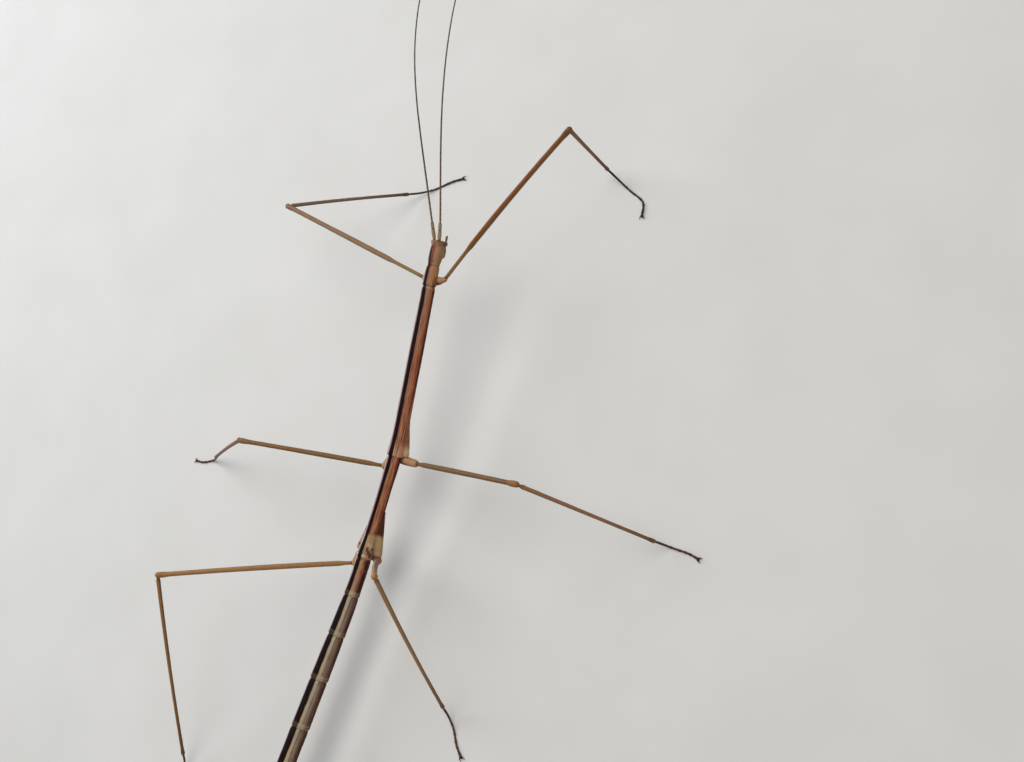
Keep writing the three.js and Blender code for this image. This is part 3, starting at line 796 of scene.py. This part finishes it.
def bodyFields(w):
    fields = {name: attribute(w, name) for name in ("along", "around", "ringGap", "flank")}
    fields.update({name: streaks(w, fields, *size) for name, size in bodyStreaks.items()})
    along, broad = fields["along"], fields["broad"] - 0.5
    fields["place"] = along + broad * sway["along"]
    degrees = fields["around"] * 180 + broad * sway["round"] + (fields["fine"] - 0.5) * sway["ragged"]
    fields["degrees"] = degrees
    for name, limits in areas.items():
        fields[name] = coverage(fields, 1, *limits)
    climb, *stretch = sideLine["climb"]
    lineAt = sideLine["degrees"] - climb * along.rises(*stretch)
    narrower, *stretch = sideLine["narrower"]
    reach = sideLine["reach"] - narrower * along.rises(*stretch)
    fields["beyondLine"] = degrees - lineAt
    fields["sideLine"] = abs(degrees - lineAt).falls(sideLine["solid"], reach)
    fields["stripe"] = stripeDown(fields)
    for name, (base, amount, source) in weights.items():
        fields[name] = base + amount * fields[source]
    pale = sum(coverage(fields, *stretch) for stretch in ringBand["stretches"])
    fields["band"] = pale * sum(coverage(fields, *side) for side in ringBand["sides"])
    arch = degrees * (1 / collar["archAt"])
    fields["fromCollar"] = abs(along - collar["along"] - collar["arch"] * arch * arch)
    fields["offFace"] = along.rises(0.25, 1.2)
    # painted reflection: how far the surface turns away from the view, which lays the painted sheen of the
    # sky into the colour
    fields["sheen"] = w.node("ShaderNodeLayerWeight", inputs={"Blend": 0.5}, output=1).rises(0.36, 0.8)
    return fields


def makeBodyMaterial():
    material, shader, w = newMaterial("cuticle")
    fields = bodyFields(w)
    degrees, fine, stripe = fields["degrees"], fields["fine"], fields["stripe"]
    banding = []
    for shades in bands.values():
        banding.append(degrees.colours([(at, *tones[tone]) for at, tone in shades], 180))
    colour = banding[0]
    for stretch, start in zip(banding[1:], bandsFrom):
        colour = colour.towards(stretch, fields["place"].rises(*start))
    colour = coated(colour, fields, markings)
    black = w.mix(*(tint(*tone) for tone in backStripe["tones"]), degrees.fades(*backStripe["toEdge"]))
    colour = colour.towards(coated(black, fields, backStripe["worn"]), stripe)
    colour = coated(colour, fields, overlays)
    roughness = 0.34 + 0.2 * fine * fields["offFace"] + 0.16 * stripe
    height = (fine * 0.55 + fields["mottle"] * 0.45) * fields["offFace"]
    finishShader(shader, colour, roughness, (height, 0.03, 0.7), 0.06)
    coat = coverage(fields, *gloss["back"]) + coverage(fields, *gloss["rim"])
    plug(fields["bare"] * (1 - coverage(fields, *gloss["dull"])) * coat, shader, "Coat Weight")
    shader.inputs["Coat Roughness"].default_value = gloss["roughness"]
    shader.inputs["Coat IOR"].default_value = gloss["refraction"]
    return material


def makeBodySkin():
    bm = newShell()
    addTube(bm, bodyCourse, bodyStops(), body["sides"], bodySection, marks=bodyMarks)
    print("stage: body skin,", len(bm.faces), "faces")
    finishPiece(bm, "body_skin", [makeBodyMaterial()], "thorax", "head", *body["segments"])


legSizes = {
    "knee": 0.5,
    "ankle": 0.34,
    "cut": 0.06,
    "ankleHeight": 2.4,
    "toe": 0.21,
    "sole": 0.21,
    # shares of the toes' length at their bends, and of the ankle's height at the first of them
    "toeBends": (0.2, 0.45, 0.78),
    "firstBend": 0.42,
    "toeJoints": [0.42, 0.6, 0.74, 0.85],
    "flutes": 0.06,
    "tibiaBow": 0.25,
    # where the coxa starts, coxa and hip radius, femur, tibia and tarsus lengths, slim base, femur radius
    "front": ((7.0, 0.55, 0.5), 0.7, 0.46, 33.6, 22.0, 10.7, 6.2, 0.45),
    "mid": ((37.0, 0.9, 0.8), 0.74, 0.64, 26.5, 23.4, 6.8, 0.8, 0.42),
    "hind": ((53.4, 1.35, 0.9), 0.82, 0.74, 33.0, 36.5, 8.0, 0.8, 0.44),
}
# Pair, side, hip (back, out, down), femur (heading, rise), bow, headings of tibia and tarsus, toes' turn
stance = [
    ("front", "right", (6.3, 2.2, 0.9), (43.3, 17.7), 0.5, -55.2, 123.5, 46),
    ("front", "left", (6.5, 1.9, 0.9), (-73.8, 3.3), 0.5, 59.5, 62, 8),
    ("mid", "right", (36.9, 3.6, 1.15), (90.7, 20.9), 0.35, 98.8, 96, 10),
    ("mid", "left", (39.0, 2.2, 1.15), (-94.4, 18.2), 0.35, -100.6, -107, 18),
    ("hind", "right", (54.2, 2.0, 1.1), (94.0, 55.1), 0.2, -173.2, 150, -12),
    ("hind", "left", (56.0, 2.1, 1.1), (-111.1, 28.8), 0.8, -177.9, -168, 12),
]
# top, middle and underside of the coxa: its pale top is partly its own tone and partly a painted highlight,
# its dark underside partly painted shade
coxaTone = ((192, 144, 104), (152, 94, 58), (98, 50, 34))
# the legs' lighter tops and darker undersides are partly their own tones and partly painted highlight and
# painted shade
legTones = {  # top, middle and underside of the femur and of the tibia, the toes, and a coat on the knee
    "front_right": (((136, 84, 44), (126, 96, 56), (88, 60, 34)),
                    ((172, 124, 74), (152, 106, 62), (118, 80, 46)), (66, 52, 44), ((120, 86, 50), 0.5)),
    "front_left": (((148, 116, 86), (116, 82, 58), (80, 52, 36)),
                   ((124, 106, 86), (100, 78, 60), (64, 44, 32)), (72, 60, 50), ((150, 118, 94), 0.5)),
    "mid_right": (((122, 88, 54), (88, 58, 34), (60, 34, 18)), ((154, 114, 80), (118, 84, 54), (78, 48, 30)),
                  (80, 54, 42), ((166, 112, 60), 0.6)),
    "mid_left": (((138, 100, 62), (104, 70, 38), (62, 32, 14)), ((142, 98, 78), (104, 66, 54), (62, 34, 28)),
                 (84, 52, 44), ((156, 122, 84), 0.6)),
    "hind_right": (((162, 120, 80), (124, 88, 54), (84, 52, 30)),
                   ((178, 130, 78), (148, 106, 60), (108, 74, 42)), (88, 62, 44), ((184, 132, 66), 0.65)),
    "hind_left": (((168, 126, 80), (130, 92, 50), (82, 48, 20)),
                  ((158, 116, 72), (122, 84, 48), (76, 42, 22)), (88, 62, 44), ((168, 124, 66), 0.5)),
}
slimTone = (146, 120, 74)  # base of the front femora


def evenStops(stops, spacing):  # stops with more of them wherever they are far apart
    places = []
    for start, end in zip(stops, stops[1:]):
        count = max(1, math.ceil((end - start) / spacing))
        places += [start + (end - start) * i / count for i in range(count)]
    return places + [stops[-1]]


def dome(centre, radius, steps=7):
    arc = [math.radians(90 * (i + 1) / steps) for i in range(steps)]
    return [(centre + radius * math.sin(angle), radius * math.cos(angle)) for angle in arc]


def addLimb(bm, course, profile, hinge, flutes=0, flatten=1, spacing=0.5, sides=20, uneven=0.02, **more):
    stops = evenStops([along for along, radius in profile], spacing)

    def section(along, angle):
        radius = profileAt(profile, along)
        ridged = flutes * max(0, math.cos(5 * angle)) ** 3
        radius *= 1 + ridged + uneven * noise.noise(Vector((along, angle, radius)))
        return math.sin(angle) * radius * flatten, math.cos(angle) * radius

    addTube(bm, course, stops, sides, section, hinge, **more)


# The fields of a limb and its base colour. A surface has its streaks, how far they push the tones, and the
# degrees to which the top's tone goes, and where the middle's and the underside's are in full.
# the lighter top and the darker underside are partly the limb's own tones and partly painted highlight and
# painted shade
def limbColour(w, length, tones, surface):
    fields = {"along": attribute(w, "along") * length, "around": attribute(w, "around")}
    fields.update({name: streaks(w, fields, *size) for name, size in surface["streaks"].items()})
    fields["degrees"] = fields["around"] * 180 + (fields["broad"] - 0.5) * surface["sway"]
    (top, middle, under), edges = tones, surface["edges"]
    shades = [(0, *top), (edges[0], *top), (edges[1], *middle), (edges[2], *under), (180, *under)]
    return fields, fields["degrees"].colours(shades, 180)


legSurface = {
    "streaks": {"broad": (3.0, 2.6), "fine": (0.5, 0.9, 4, 0.65), "mottle": (1.6, 0.7, 3)},
    "sway": 50,
    "edges": (48, 82, 118),
}
coxaSurface = {
    "streaks": {"broad": (1.6, 1.2), "fine": (0.3, 0.5, 4, 0.65)},
    "sway": 60,
    "edges": (34, 76, 130),
}


def legMaterial(name, legTone, blotch, length, slimBase=0, knee=None):
    material, shader, w = newMaterial(name)
    fields, colour = limbColour(w, length, legTone, legSurface)
    coats = [(slimTone, 0.75, ("along", slimBase + 2.5, slimBase - 1.5))] if slimBase else []
    coats += [
        ((200, 160, 112), 0.3, ("fine", 0.52, 0.76)),
        ((62, 32, 18), blotch, ("mottle", 0.54, 0.72)),
        ((84, 44, 22), 0.4, ("along", 1.4, 0.5)),
        ((84, 44, 22), 0.4, ("along", length - 1.3, length - 0.6), ("along", length - 0.2, length - 0.45)),
    ]
    # the knee's golden coat: partly its own colour and partly a painted highlight
    if knee:
        coats.append((*knee, ("along", length - 2.2, length - 0.4)))
    else:
        coats.append(((74, 42, 28), 0.45, ("along", length * 0.5, length)))
    height = fields["fine"] * 0.6 + fields["mottle"] * 0.4
    finishShader(shader, coated(colour, fields, coats), 0.4 + 0.2 * fields["fine"], (height, 0.03, 0.6), 0.2)
    return material


def coxaMaterial(name, length):
    material, shader, w = newMaterial(name)
    fields, colour = limbColour(w, length, coxaTone, coxaSurface)
    colour = coated(colour, fields, [
        # the coxa's root and the lower side of its first part darkened to maroon: partly the soft membrane
        # there and partly painted shade of the socket
        ((124, 62, 40), 0.8, ("along", length * 0.65, length * 0.35), ("degrees", 20, 60)),
        ((64, 24, 20), 0.85, ("along", 1.1, 0.4)),
        ((150, 80, 60), 0.6, ("along", length - 0.5, length - 0.1), ("degrees", 50, 110)),
        ((214, 180, 150), 0.35, ("fine", 0.5, 0.75)),
        ((84, 46, 32), 0.35, ("fine", 0.46, 0.3)),
    ])
    finishShader(shader, colour, 0.38 + 0.2 * fields["fine"], (fields["fine"], 0.03, 0.6), 0.25)
    return material


def addCoxa(bm, root, hip, coxaRadius, hipRadius):
    reach = (hip - root).length
    profile = [(-0.2, 0), (-0.15, coxaRadius * 0.6), (0.1, coxaRadius * 0.92),
               (reach * 0.45, coxaRadius * 0.97), (reach - 0.2, hipRadius * 1.02), (reach, hipRadius * 0.98),
               *dome(reach, hipRadius * 0.97)]
    addLimb(bm, Course([root, hip]), profile, None, spacing=0.12, sides=28)


def femurProfile(length, start, slimBase, radius):
    knee = legSizes["knee"]
    slim = start + slimBase
    return [(start - 0.3, 0), (start - 0.26, 0.22), (start - 0.12, 0.31), (start + 0.1, 0.33),
            (start + 0.2, 0.26), (start + 0.45, 0.31), (slim, 0.31), (slim + 1.4, radius),
            (length * 0.4, radius * 1.03), (length * 0.7, radius * 0.93), (length - 1.9, radius * 0.91),
            (length - 0.8, knee * 0.97), (length - 0.28, knee * 0.97), (length - 0.16, knee * 0.84),
            (length - 0.04, knee * 0.94), (length, knee * 0.97), *dome(length, knee * 0.97)]


def tibiaProfile(length):
    start, ankle = legSizes["knee"] + legSizes["cut"], legSizes["ankle"]
    return [(start - 0.3, 0), (start - 0.28, 0.16), (start, 0.24), (start + 0.4, 0.35), (start + 1.5, 0.33),
            (length * 0.35, 0.3), (length * 0.7, 0.27), (length - 1.3, 0.27), (length - 0.5, 0.32),
            (length, ankle * 0.97), *dome(length, ankle * 0.97)]


def tarsusCourse(ankle, heading, turn, length):  # on the floor from the second toe joint on
    onFloor = Vector((ankle.x, ankle.y, legSizes["sole"]))
    ahead = direction(heading, 0) * length
    first, second, third = legSizes["toeBends"]
    corners = [ankle, ankle + ahead * first, onFloor + ahead * second, onFloor + ahead * third]
    corners[1].z = legSizes["ankleHeight"] * legSizes["firstBend"]
    corners.append(corners[3] + direction(heading + turn, 0) * length * (1 - third))
    return curved(corners)


def tarsusProfile(length):
    size, ankle = legSizes["toe"], legSizes["ankle"]
    profile = [(ankle * 0.5, 0), (ankle * 0.55, 0.12), (ankle, 0.17), (ankle + 0.3, 0.2)]
    for joint in legSizes["toeJoints"]:
        at = length * joint
        profile += [(at - 0.5, size * 0.84), (at - 0.16, size * 1.04), (at - 0.02, size * 0.8),
                    (at + 0.05, size * 0.66), (at + 0.3, size * 0.8)]
    return profile + [(length * 0.95, size), (length - 0.08, size * 0.8), (length, 0)]


def makeLeg(pair, side, hipAt, femurCourse, bow, tibiaHeading, tarsusHeading, turn, clawHorn):
    name = f"{pair}_{side}"
    sign = 1 if side == "right" else -1
    coxaFrom, coxaRadius, hipRadius, *lengths, slimBase, femurRadius = legSizes[pair]
    femurLength, tibiaLength, tarsusLength = lengths
    hip, root = (beside(back, sign * out, -down) for back, out, down in (hipAt, coxaFrom))
    knee = hip + direction(*femurCourse) * femurLength
    drop = math.degrees(math.asin((knee.z - legSizes["ankleHeight"]) / tibiaLength))
    ankle = knee + direction(tibiaHeading, -drop) * tibiaLength
    femurHinge, tibiaHinge = direction(femurCourse[0] + 90, 0), direction(tibiaHeading + 90, 0)
    toes = tarsusCourse(ankle, tarsusHeading, turn, tarsusLength)
    femurTones, tibiaTones, toeTone, kneeGoldAndHighlight = legTones[name]
    # the toes' underside is their own tone at three quarters: painted shade
    toeTones = (toeTone, toeTone, [part * 0.75 for part in toeTone])
    slimTo = slimBase if pair == "front" else 0
    materials = [
        coxaMaterial(f"coxa_{name}", (hip - root).length),
        legMaterial(f"femur_{name}", femurTones, 0.35, femurLength, slimTo, kneeGoldAndHighlight),
        legMaterial(f"tibia_{name}", tibiaTones, 0.4, tibiaLength),
        legMaterial(f"toes_{name}", toeTones, 0.5, toes.length),
    ]
    bm = newShell()
    addCoxa(bm, root, hip, coxaRadius, hipRadius)
    profile = femurProfile(femurLength, hipRadius + legSizes["cut"], slimBase, femurRadius * 0.98)
    flutes = legSizes["flutes"]
    addLimb(bm, bowed(hip, knee, femurHinge, bow), profile, femurHinge, flutes, material=1)
    tibia = bowed(knee, ankle, tibiaHinge, legSizes["tibiaBow"])
    addLimb(bm, tibia, tibiaProfile(tibiaLength), tibiaHinge, flutes, material=2)
    toeHinge = direction(tarsusHeading + 90, 0)
    addLimb(bm, toes, tarsusProfile(toes.length), toeHinge, spacing=0.2, material=3, floor=0)
    nodes = [f"{part}_{name}" for part in ("coxa", "femur", "tibia", "tarsus")]
    print("stage: leg", name, len(bm.faces), "faces")
    finishPiece(bm, f"leg_{name}", materials, "leg", *nodes)
    makeClaws(name, toes.points[-1], tarsusHeading + turn, clawHorn)


claw = {
    "splay": 26,
    "back": 0.3,
    "stretches": [(1.2, 8, 0.45), (0.8, -10, 0.38), (0.4, -38, 0.3)],  # share of the splay, rise and length
    "base": [(0, 0), (0.03, 0.07), (0.1, 0.1)],
    "shares": [(0.5, 0.085), (0.85, 0.045), (1, 0)],  # radius at shares of the length
    "pad": (-0.12, 0.34),
    "padProfile": [(0, 0), (0.04, 0.1), (0.16, 0.17), (0.34, 0.16), (0.43, 0.09), (0.46, 0)],
}


def makeClaws(name, tip, heading, clawHorn):
    bm = newShell()
    ahead = direction(heading, 0)
    for splay in (-claw["splay"], claw["splay"]):
        points = [tip - ahead * claw["back"]]
        for share, rise, long in claw["stretches"]:
            points.append(points[-1] + direction(heading + splay * share, rise) * long)
        course = curved(points)
        profile = claw["base"] + [(course.length * share, radius) for share, radius in claw["shares"]]
        addLimb(bm, course, profile, worldUp, spacing=0.12, floor=0)
    pad = Course([tip + ahead * end for end in claw["pad"]])
    addLimb(bm, pad, claw["padProfile"], worldUp, spacing=0.06, floor=0)
    finishPiece(bm, f"claws_{name}", [clawHorn], "tarsus")


feeler = {
    "length": 46,
    "rise": 29,
    "back": 0.35,
    "up": 0.5,
    "leanTo": 6,
    # out from the middle, heading, first lean, curl and where it starts
    "left": (-0.58, -9, 0, 0.045, 14),
    "right": (0.33, 1.5, 6, 0.02, 8),
    "rootStops": [(0.2, 0), (0.22, 0.2), (0.5, 0.27), (0.7, 0.32), (1.2, 0.33), (1.85, 0.315), (2.02, 0.26),
                  (2.1, 0.25), (2.25, 0.29), (2.6, 0.3), (3.0, 0.28), (3.14, 0.22)],
    "rootJoints": [0.3, 2.06, 3.16],
    "radius": 0.19,
    "tipRadius": 0.085,
    "firstJoint": 0.75,
    "growth": 1.045,
    # tones from the root, by share of the length
    "shades": [(0, 168, 142, 108), (0.06, 158, 136, 104), (0.1, 132, 108, 76), (0.3, 104, 82, 62),
               (1, 88, 70, 58)],
    "coats": [
        ((88, 52, 36), 0.45, ("around", 0.45, 0.8)),
        ((54, 38, 30), 0.6, ("ringGap", 0.2, 0.06)),
        ((196, 170, 132), 0.35, ("fine", 0.54, 0.74)),
    ],
}


def feelerMaterial():
    material, shader, w = newMaterial("feelerHorn")
    fields = {name: attribute(w, name) for name in ("along", "around", "ringGap")}
    share = fields["along"]
    fields["along"] = share * feeler["length"]
    fields["fine"] = streaks(w, fields, 0.8, 0.5)
    colour = coated(share.colours(feeler["shades"]), fields, feeler["coats"])
    finishShader(shader, colour, 0.42 + 0.2 * fields["fine"], (fields["fine"], 0.015, 0.5), 0.25)
    return material


def makeFeeler(side, material):
    out, heading, lean, curl, curlFrom = feeler[side]

    def headingAt(along):
        return heading + lean * (1 - ease(along, 0, feeler["leanTo"])) + curl * max(0, along - curlFrom) ** 2

    start = beside(feeler["back"], out, feeler["up"])
    course = walk(start, feeler["length"], headingAt, lambda along: feeler["rise"], 0.25)
    profile, joints = list(feeler["rootStops"]), list(feeler["rootJoints"])
    at, step = joints[-1] + 0.02, feeler["firstJoint"]
    while at < course.length - 0.3:
        radius = between(feeler["radius"], feeler["tipRadius"], (at / course.length) ** 0.7)
        end = min(at + step, course.length - 0.1)
        profile += [(at + 0.04, radius * 0.84), (at + 0.16, radius * 0.95), (end - 0.12, radius * 1.03),
                    (end - 0.03, radius * 0.97)]
        joints.append(end)
        at, step = end, step * feeler["growth"]
    profile += [(course.length - 0.06, feeler["tipRadius"] * 0.8), (course.length, 0)]

    def marks(along, angle):
        return along / course.length, abs(angle) / math.pi, min(abs(along - joint) for joint in joints), 0

    bm = newShell()
    addLimb(bm, course, profile, None, sides=14, uneven=0, marks=marks)
    nodes = [f"feeler_{side}_{part}" for part in ("root", "near", "far")]
    finishPiece(bm, f"feeler_{side}", [material], "feeler", *nodes)


eye = {
    "radius": 0.475,
    "back": 0.5,
    "out": 1.18,
    "up": -0.15,
    "shape": (0.94, 1, 0.98),
    "inner": (0.06, -0.24, 0.97),  # the way that the dark spot faces
    "facets": 24,
    # the purple-grey tones round the dark spot copy the eye's shaded side mirroring the sky: painted shade
    # and painted reflection
    "shades": [(0.3, 96, 66, 66), (0.46, 124, 92, 92), (0.6, 134, 104, 106), (0.72, 104, 72, 70)],
    "coats": [
        ((66, 40, 38), 0.35, ("facets", 0.3, 0.6)),
        ((112, 62, 44), 0.6, ("around", 0.5, 0.7), ("around", 1.1, 0.8)),
        ((24, 7, 5), 0.94, ("around", 0.62, 0.34)),
    ],
}


def eyeMaterial():
    material, shader, w = newMaterial("eyeGlass")
    inputs = {"Vector": inMillimetres(w), "Scale": eye["facets"]}
    fields = {"facets": w.node("ShaderNodeTexVoronoi", inputs=inputs), "around": attribute(w, "around")}
    cloud = grain(w, 2.4, 3)
    colour = coated(cloud.colours(eye["shades"]), fields, eye["coats"])
    finishShader(shader, colour, 0.16 + 0.12 * cloud, (1 - fields["facets"], 0.008, 0.35), 0.35)
    shader.inputs["Coat Weight"].default_value = 0.12
    shader.inputs["Coat Roughness"].default_value = 0.2
    return material


def makeEye(side, material):
    sign = 1 if side == "right" else -1
    bm = bmesh.new()
    bmesh.ops.create_icosphere(bm, subdivisions=5, radius=eye["radius"])
    bmesh.ops.scale(bm, vec=eye["shape"], verts=bm.verts)
    layer = bm.verts.layers.float.new("around")
    across, ahead, up = eye["inner"]
    inner = Vector((sign * across, ahead, up)).normalized()
    for vert in bm.verts:
        vert[layer] = vert.co.normalized().angle(inner) / math.radians(60)
    bmesh.ops.translate(bm, vec=beside(eye["back"], sign * eye["out"], eye["up"]), verts=bm.verts)
    finishPiece(bm, f"eye_skin_{side}", [material], "eye", f"eye_{side}")


mouth = {
    "jaws": [(0, 0), (0.05, 0.3), (0.3, 0.6), (0.8, 0.82), (1.4, 0.89), (2.1, 0.88), (2.5, 0.76),
             (2.66, 0.5), (2.7, 0)],
    "lip": [(0, 0), (0.05, 0.2), (0.2, 0.32), (0.45, 0.36), (0.62, 0.3), (0.72, 0.18), (0.76, 0)],
    "mandible": [(0, 0), (0.08, 0.24), (0.4, 0.34), (0.9, 0.3), (1.2, 0.16), (1.3, 0)],
    # back, out, down, length and splay of the outer and the inner palp
    "palps": ((1.5, 0.6, 1.15, 2.58, 2), (2.0, 0.3, 1.5, 1.88, 6)),
    "palpJoints": (0.3, 0.48, 0.64, 0.8),
    "palpRing": [(-0.06, 0.205), (0, 0.15), (0.06, 0.19)],  # radius by each joint
    # both ends (back, out, up) and flattening
    "jawsAt": ((0.28, 0, -0.6), (2.94, 0, -1.04), 1.22),
    "lipAt": ((0.12, 0, -0.62), (0.7, 0, -1.15), 1.5),
    "mandibleAt": ((1.5, 0.66, -0.95), (0.35, 0.3, -1.12)),
    "coats": [
        ((190, 130, 100), 0.8, ("along", 0.5, 0.7), ("along", 0.94, 0.84), ("fine", 0.3, 0.55)),
        ((46, 26, 18), 0.9, ("along", 0.9, 0.97)),
        ((66, 36, 24), 0.6, ("around", 0.94, 1)),
    ],
}


def makeMouth(material, palpHorn):
    bm = newShell()
    across = direction(90, 0)
    for part, spacing, sides in (("jaws", 0.08, 36), ("lip", 0.06, 20)):
        start, end, flatten = mouth[f"{part}At"]
        course = Course([beside(*start), beside(*end)])
        addLimb(bm, course, mouth[part], across, flatten=flatten, spacing=spacing, sides=sides)
    for sign in (-1, 1):
        mandible = Course([beside(back, sign * out, up) for back, out, up in mouth["mandibleAt"]])
        addLimb(bm, mandible, mouth["mandible"], across, spacing=0.08)
        for back, out, down, long, splay in mouth["palps"]:
            root = beside(back, sign * out, -down)
            profile = [(0, 0), (0.02, 0.12)]
            for share in mouth["palpJoints"]:
                profile += [(long * share + past, radius) for past, radius in mouth["palpRing"]]
            profile += [(long * 0.9, 0.21), (long * 0.97, 0.13), (long, 0)]
            course = Course([root, root + direction(sign * splay, 10) * long])
            addLimb(bm, course, profile, across, spacing=0.08, material=1)
    finishPiece(bm, "mouth", [material, palpHorn], "head", "mouthparts")


plate = {
    "from": 103.2,
    "length": 13.6,
    "radius": 0.81,
    "below": 0.72,
    "rings": 40,
    "fullness": (14, 164),  # degrees of the sine that shapes it lengthwise
    "keel": (0.05, 180, 10),
}
cercus = {"length": 1.7, "radius": 0.265, "apart": 0.42, "splay": 12, "hidden": 0.3}


def makeTail(material):
    start = beside(plate["from"], 0, -plate["below"])
    course = walk(start, plate["length"], lambda along: 180 + body["bend"], lambda along: 0)
    profile = [(0, 0)]
    for i in range(1, plate["rings"]):
        share = i / plate["rings"]
        fullness = math.sin(math.radians(between(*plate["fullness"], share))) ** 0.7
        profile.append((plate["length"] * share, plate["radius"] * fullness))
    profile.append((plate["length"], 0))

    def section(along, angle):
        radius = profileAt(profile, along)
        keel = 1 + swell(abs(math.degrees(angle)), *plate["keel"])
        return math.sin(angle) * radius, math.cos(angle) * radius * keel

    bm = newShell()
    addTube(bm, course, [along for along, radius in profile], 28, section)
    finishPiece(bm, "tail_plate_skin", [material], "abdomen", "tail_plate")
    for side, sign in (("left", -1), ("right", 1)):
        root = beside(bodyLength - cercus["hidden"], sign * cercus["apart"], 0.05)
        ahead = direction(180 + body["bend"] - sign * cercus["splay"], -6)
        course = Course([root, root + ahead * (cercus["length"] + cercus["hidden"])])
        long, r = course.length, cercus["radius"]
        profile = [(0, 0), (0.04, r * 0.8), (0.4, r * 0.96), (long * 0.6, r * 0.95), (long * 0.88, r * 0.66),
                   (long * 0.97, r * 0.3), (long, 0)]
        bm = newShell()
        addLimb(bm, course, profile, direction(90, 0), spacing=0.1)
        finishPiece(bm, f"cercus_skin_{side}", [material], "abdomen", f"cercus_{side}")


def hornMaterial(name, dark, light, shine, specular=0.3, clouds=1.2, grains=9, coats=()):
    material, shader, w = newMaterial(name)
    cloud = grain(w, clouds, 4)
    fields = {"along": attribute(w, "along"), "around": attribute(w, "around"), "fine": grain(w, grains, 3)}
    colour = coated(cloud.colours([(0.3, *dark), (0.65, *light)]), fields, coats)
    colour = coated(colour, fields, [((52, 30, 20), 0.35, ("fine", 0.54, 0.75))])
    finishShader(shader, colour, shine + 0.2 * cloud, (fields["fine"], 0.02, 0.5), specular)
    return material


def makeFloor():
    material, shader, w = newMaterial("paleFloor")
    cloud = grain(w, 0.05, 2)
    plug(cloud.colours([(0.3, 226, 224, 219), (0.7, 231, 229, 225)]), shader, "Base Color")
    shader.inputs["Roughness"].default_value = 0.8
    bm = bmesh.new()
    bmesh.ops.create_grid(bm, x_segments=2, y_segments=2, size=3)
    floor = addMesh(bm, "floor", [material])


placeCamera()
placeLamps()
makeFloor()
print("stage: camera, lamps and floor")
makeBodySkin()
clawHorn = hornMaterial("clawHorn", (38, 22, 17), (74, 48, 34), 0.25)
for leg in stance:
    makeLeg(*leg, clawHorn)
feelerHorn = feelerMaterial()
eyeGlass = eyeMaterial()
for side in ("left", "right"):
    makeFeeler(side, feelerHorn)
    makeEye(side, eyeGlass)
mouthHorn = hornMaterial("mouthHorn", (104, 84, 54), (138, 112, 76), 0.36, 0.25, 1.6, 8, mouth["coats"])
makeMouth(mouthHorn, hornMaterial("palpHorn", (104, 80, 54), (150, 128, 92), 0.4))
makeTail(hornMaterial("tailHorn", (106, 80, 64), (158, 136, 110), 0.38))
print("stage: all pieces made")
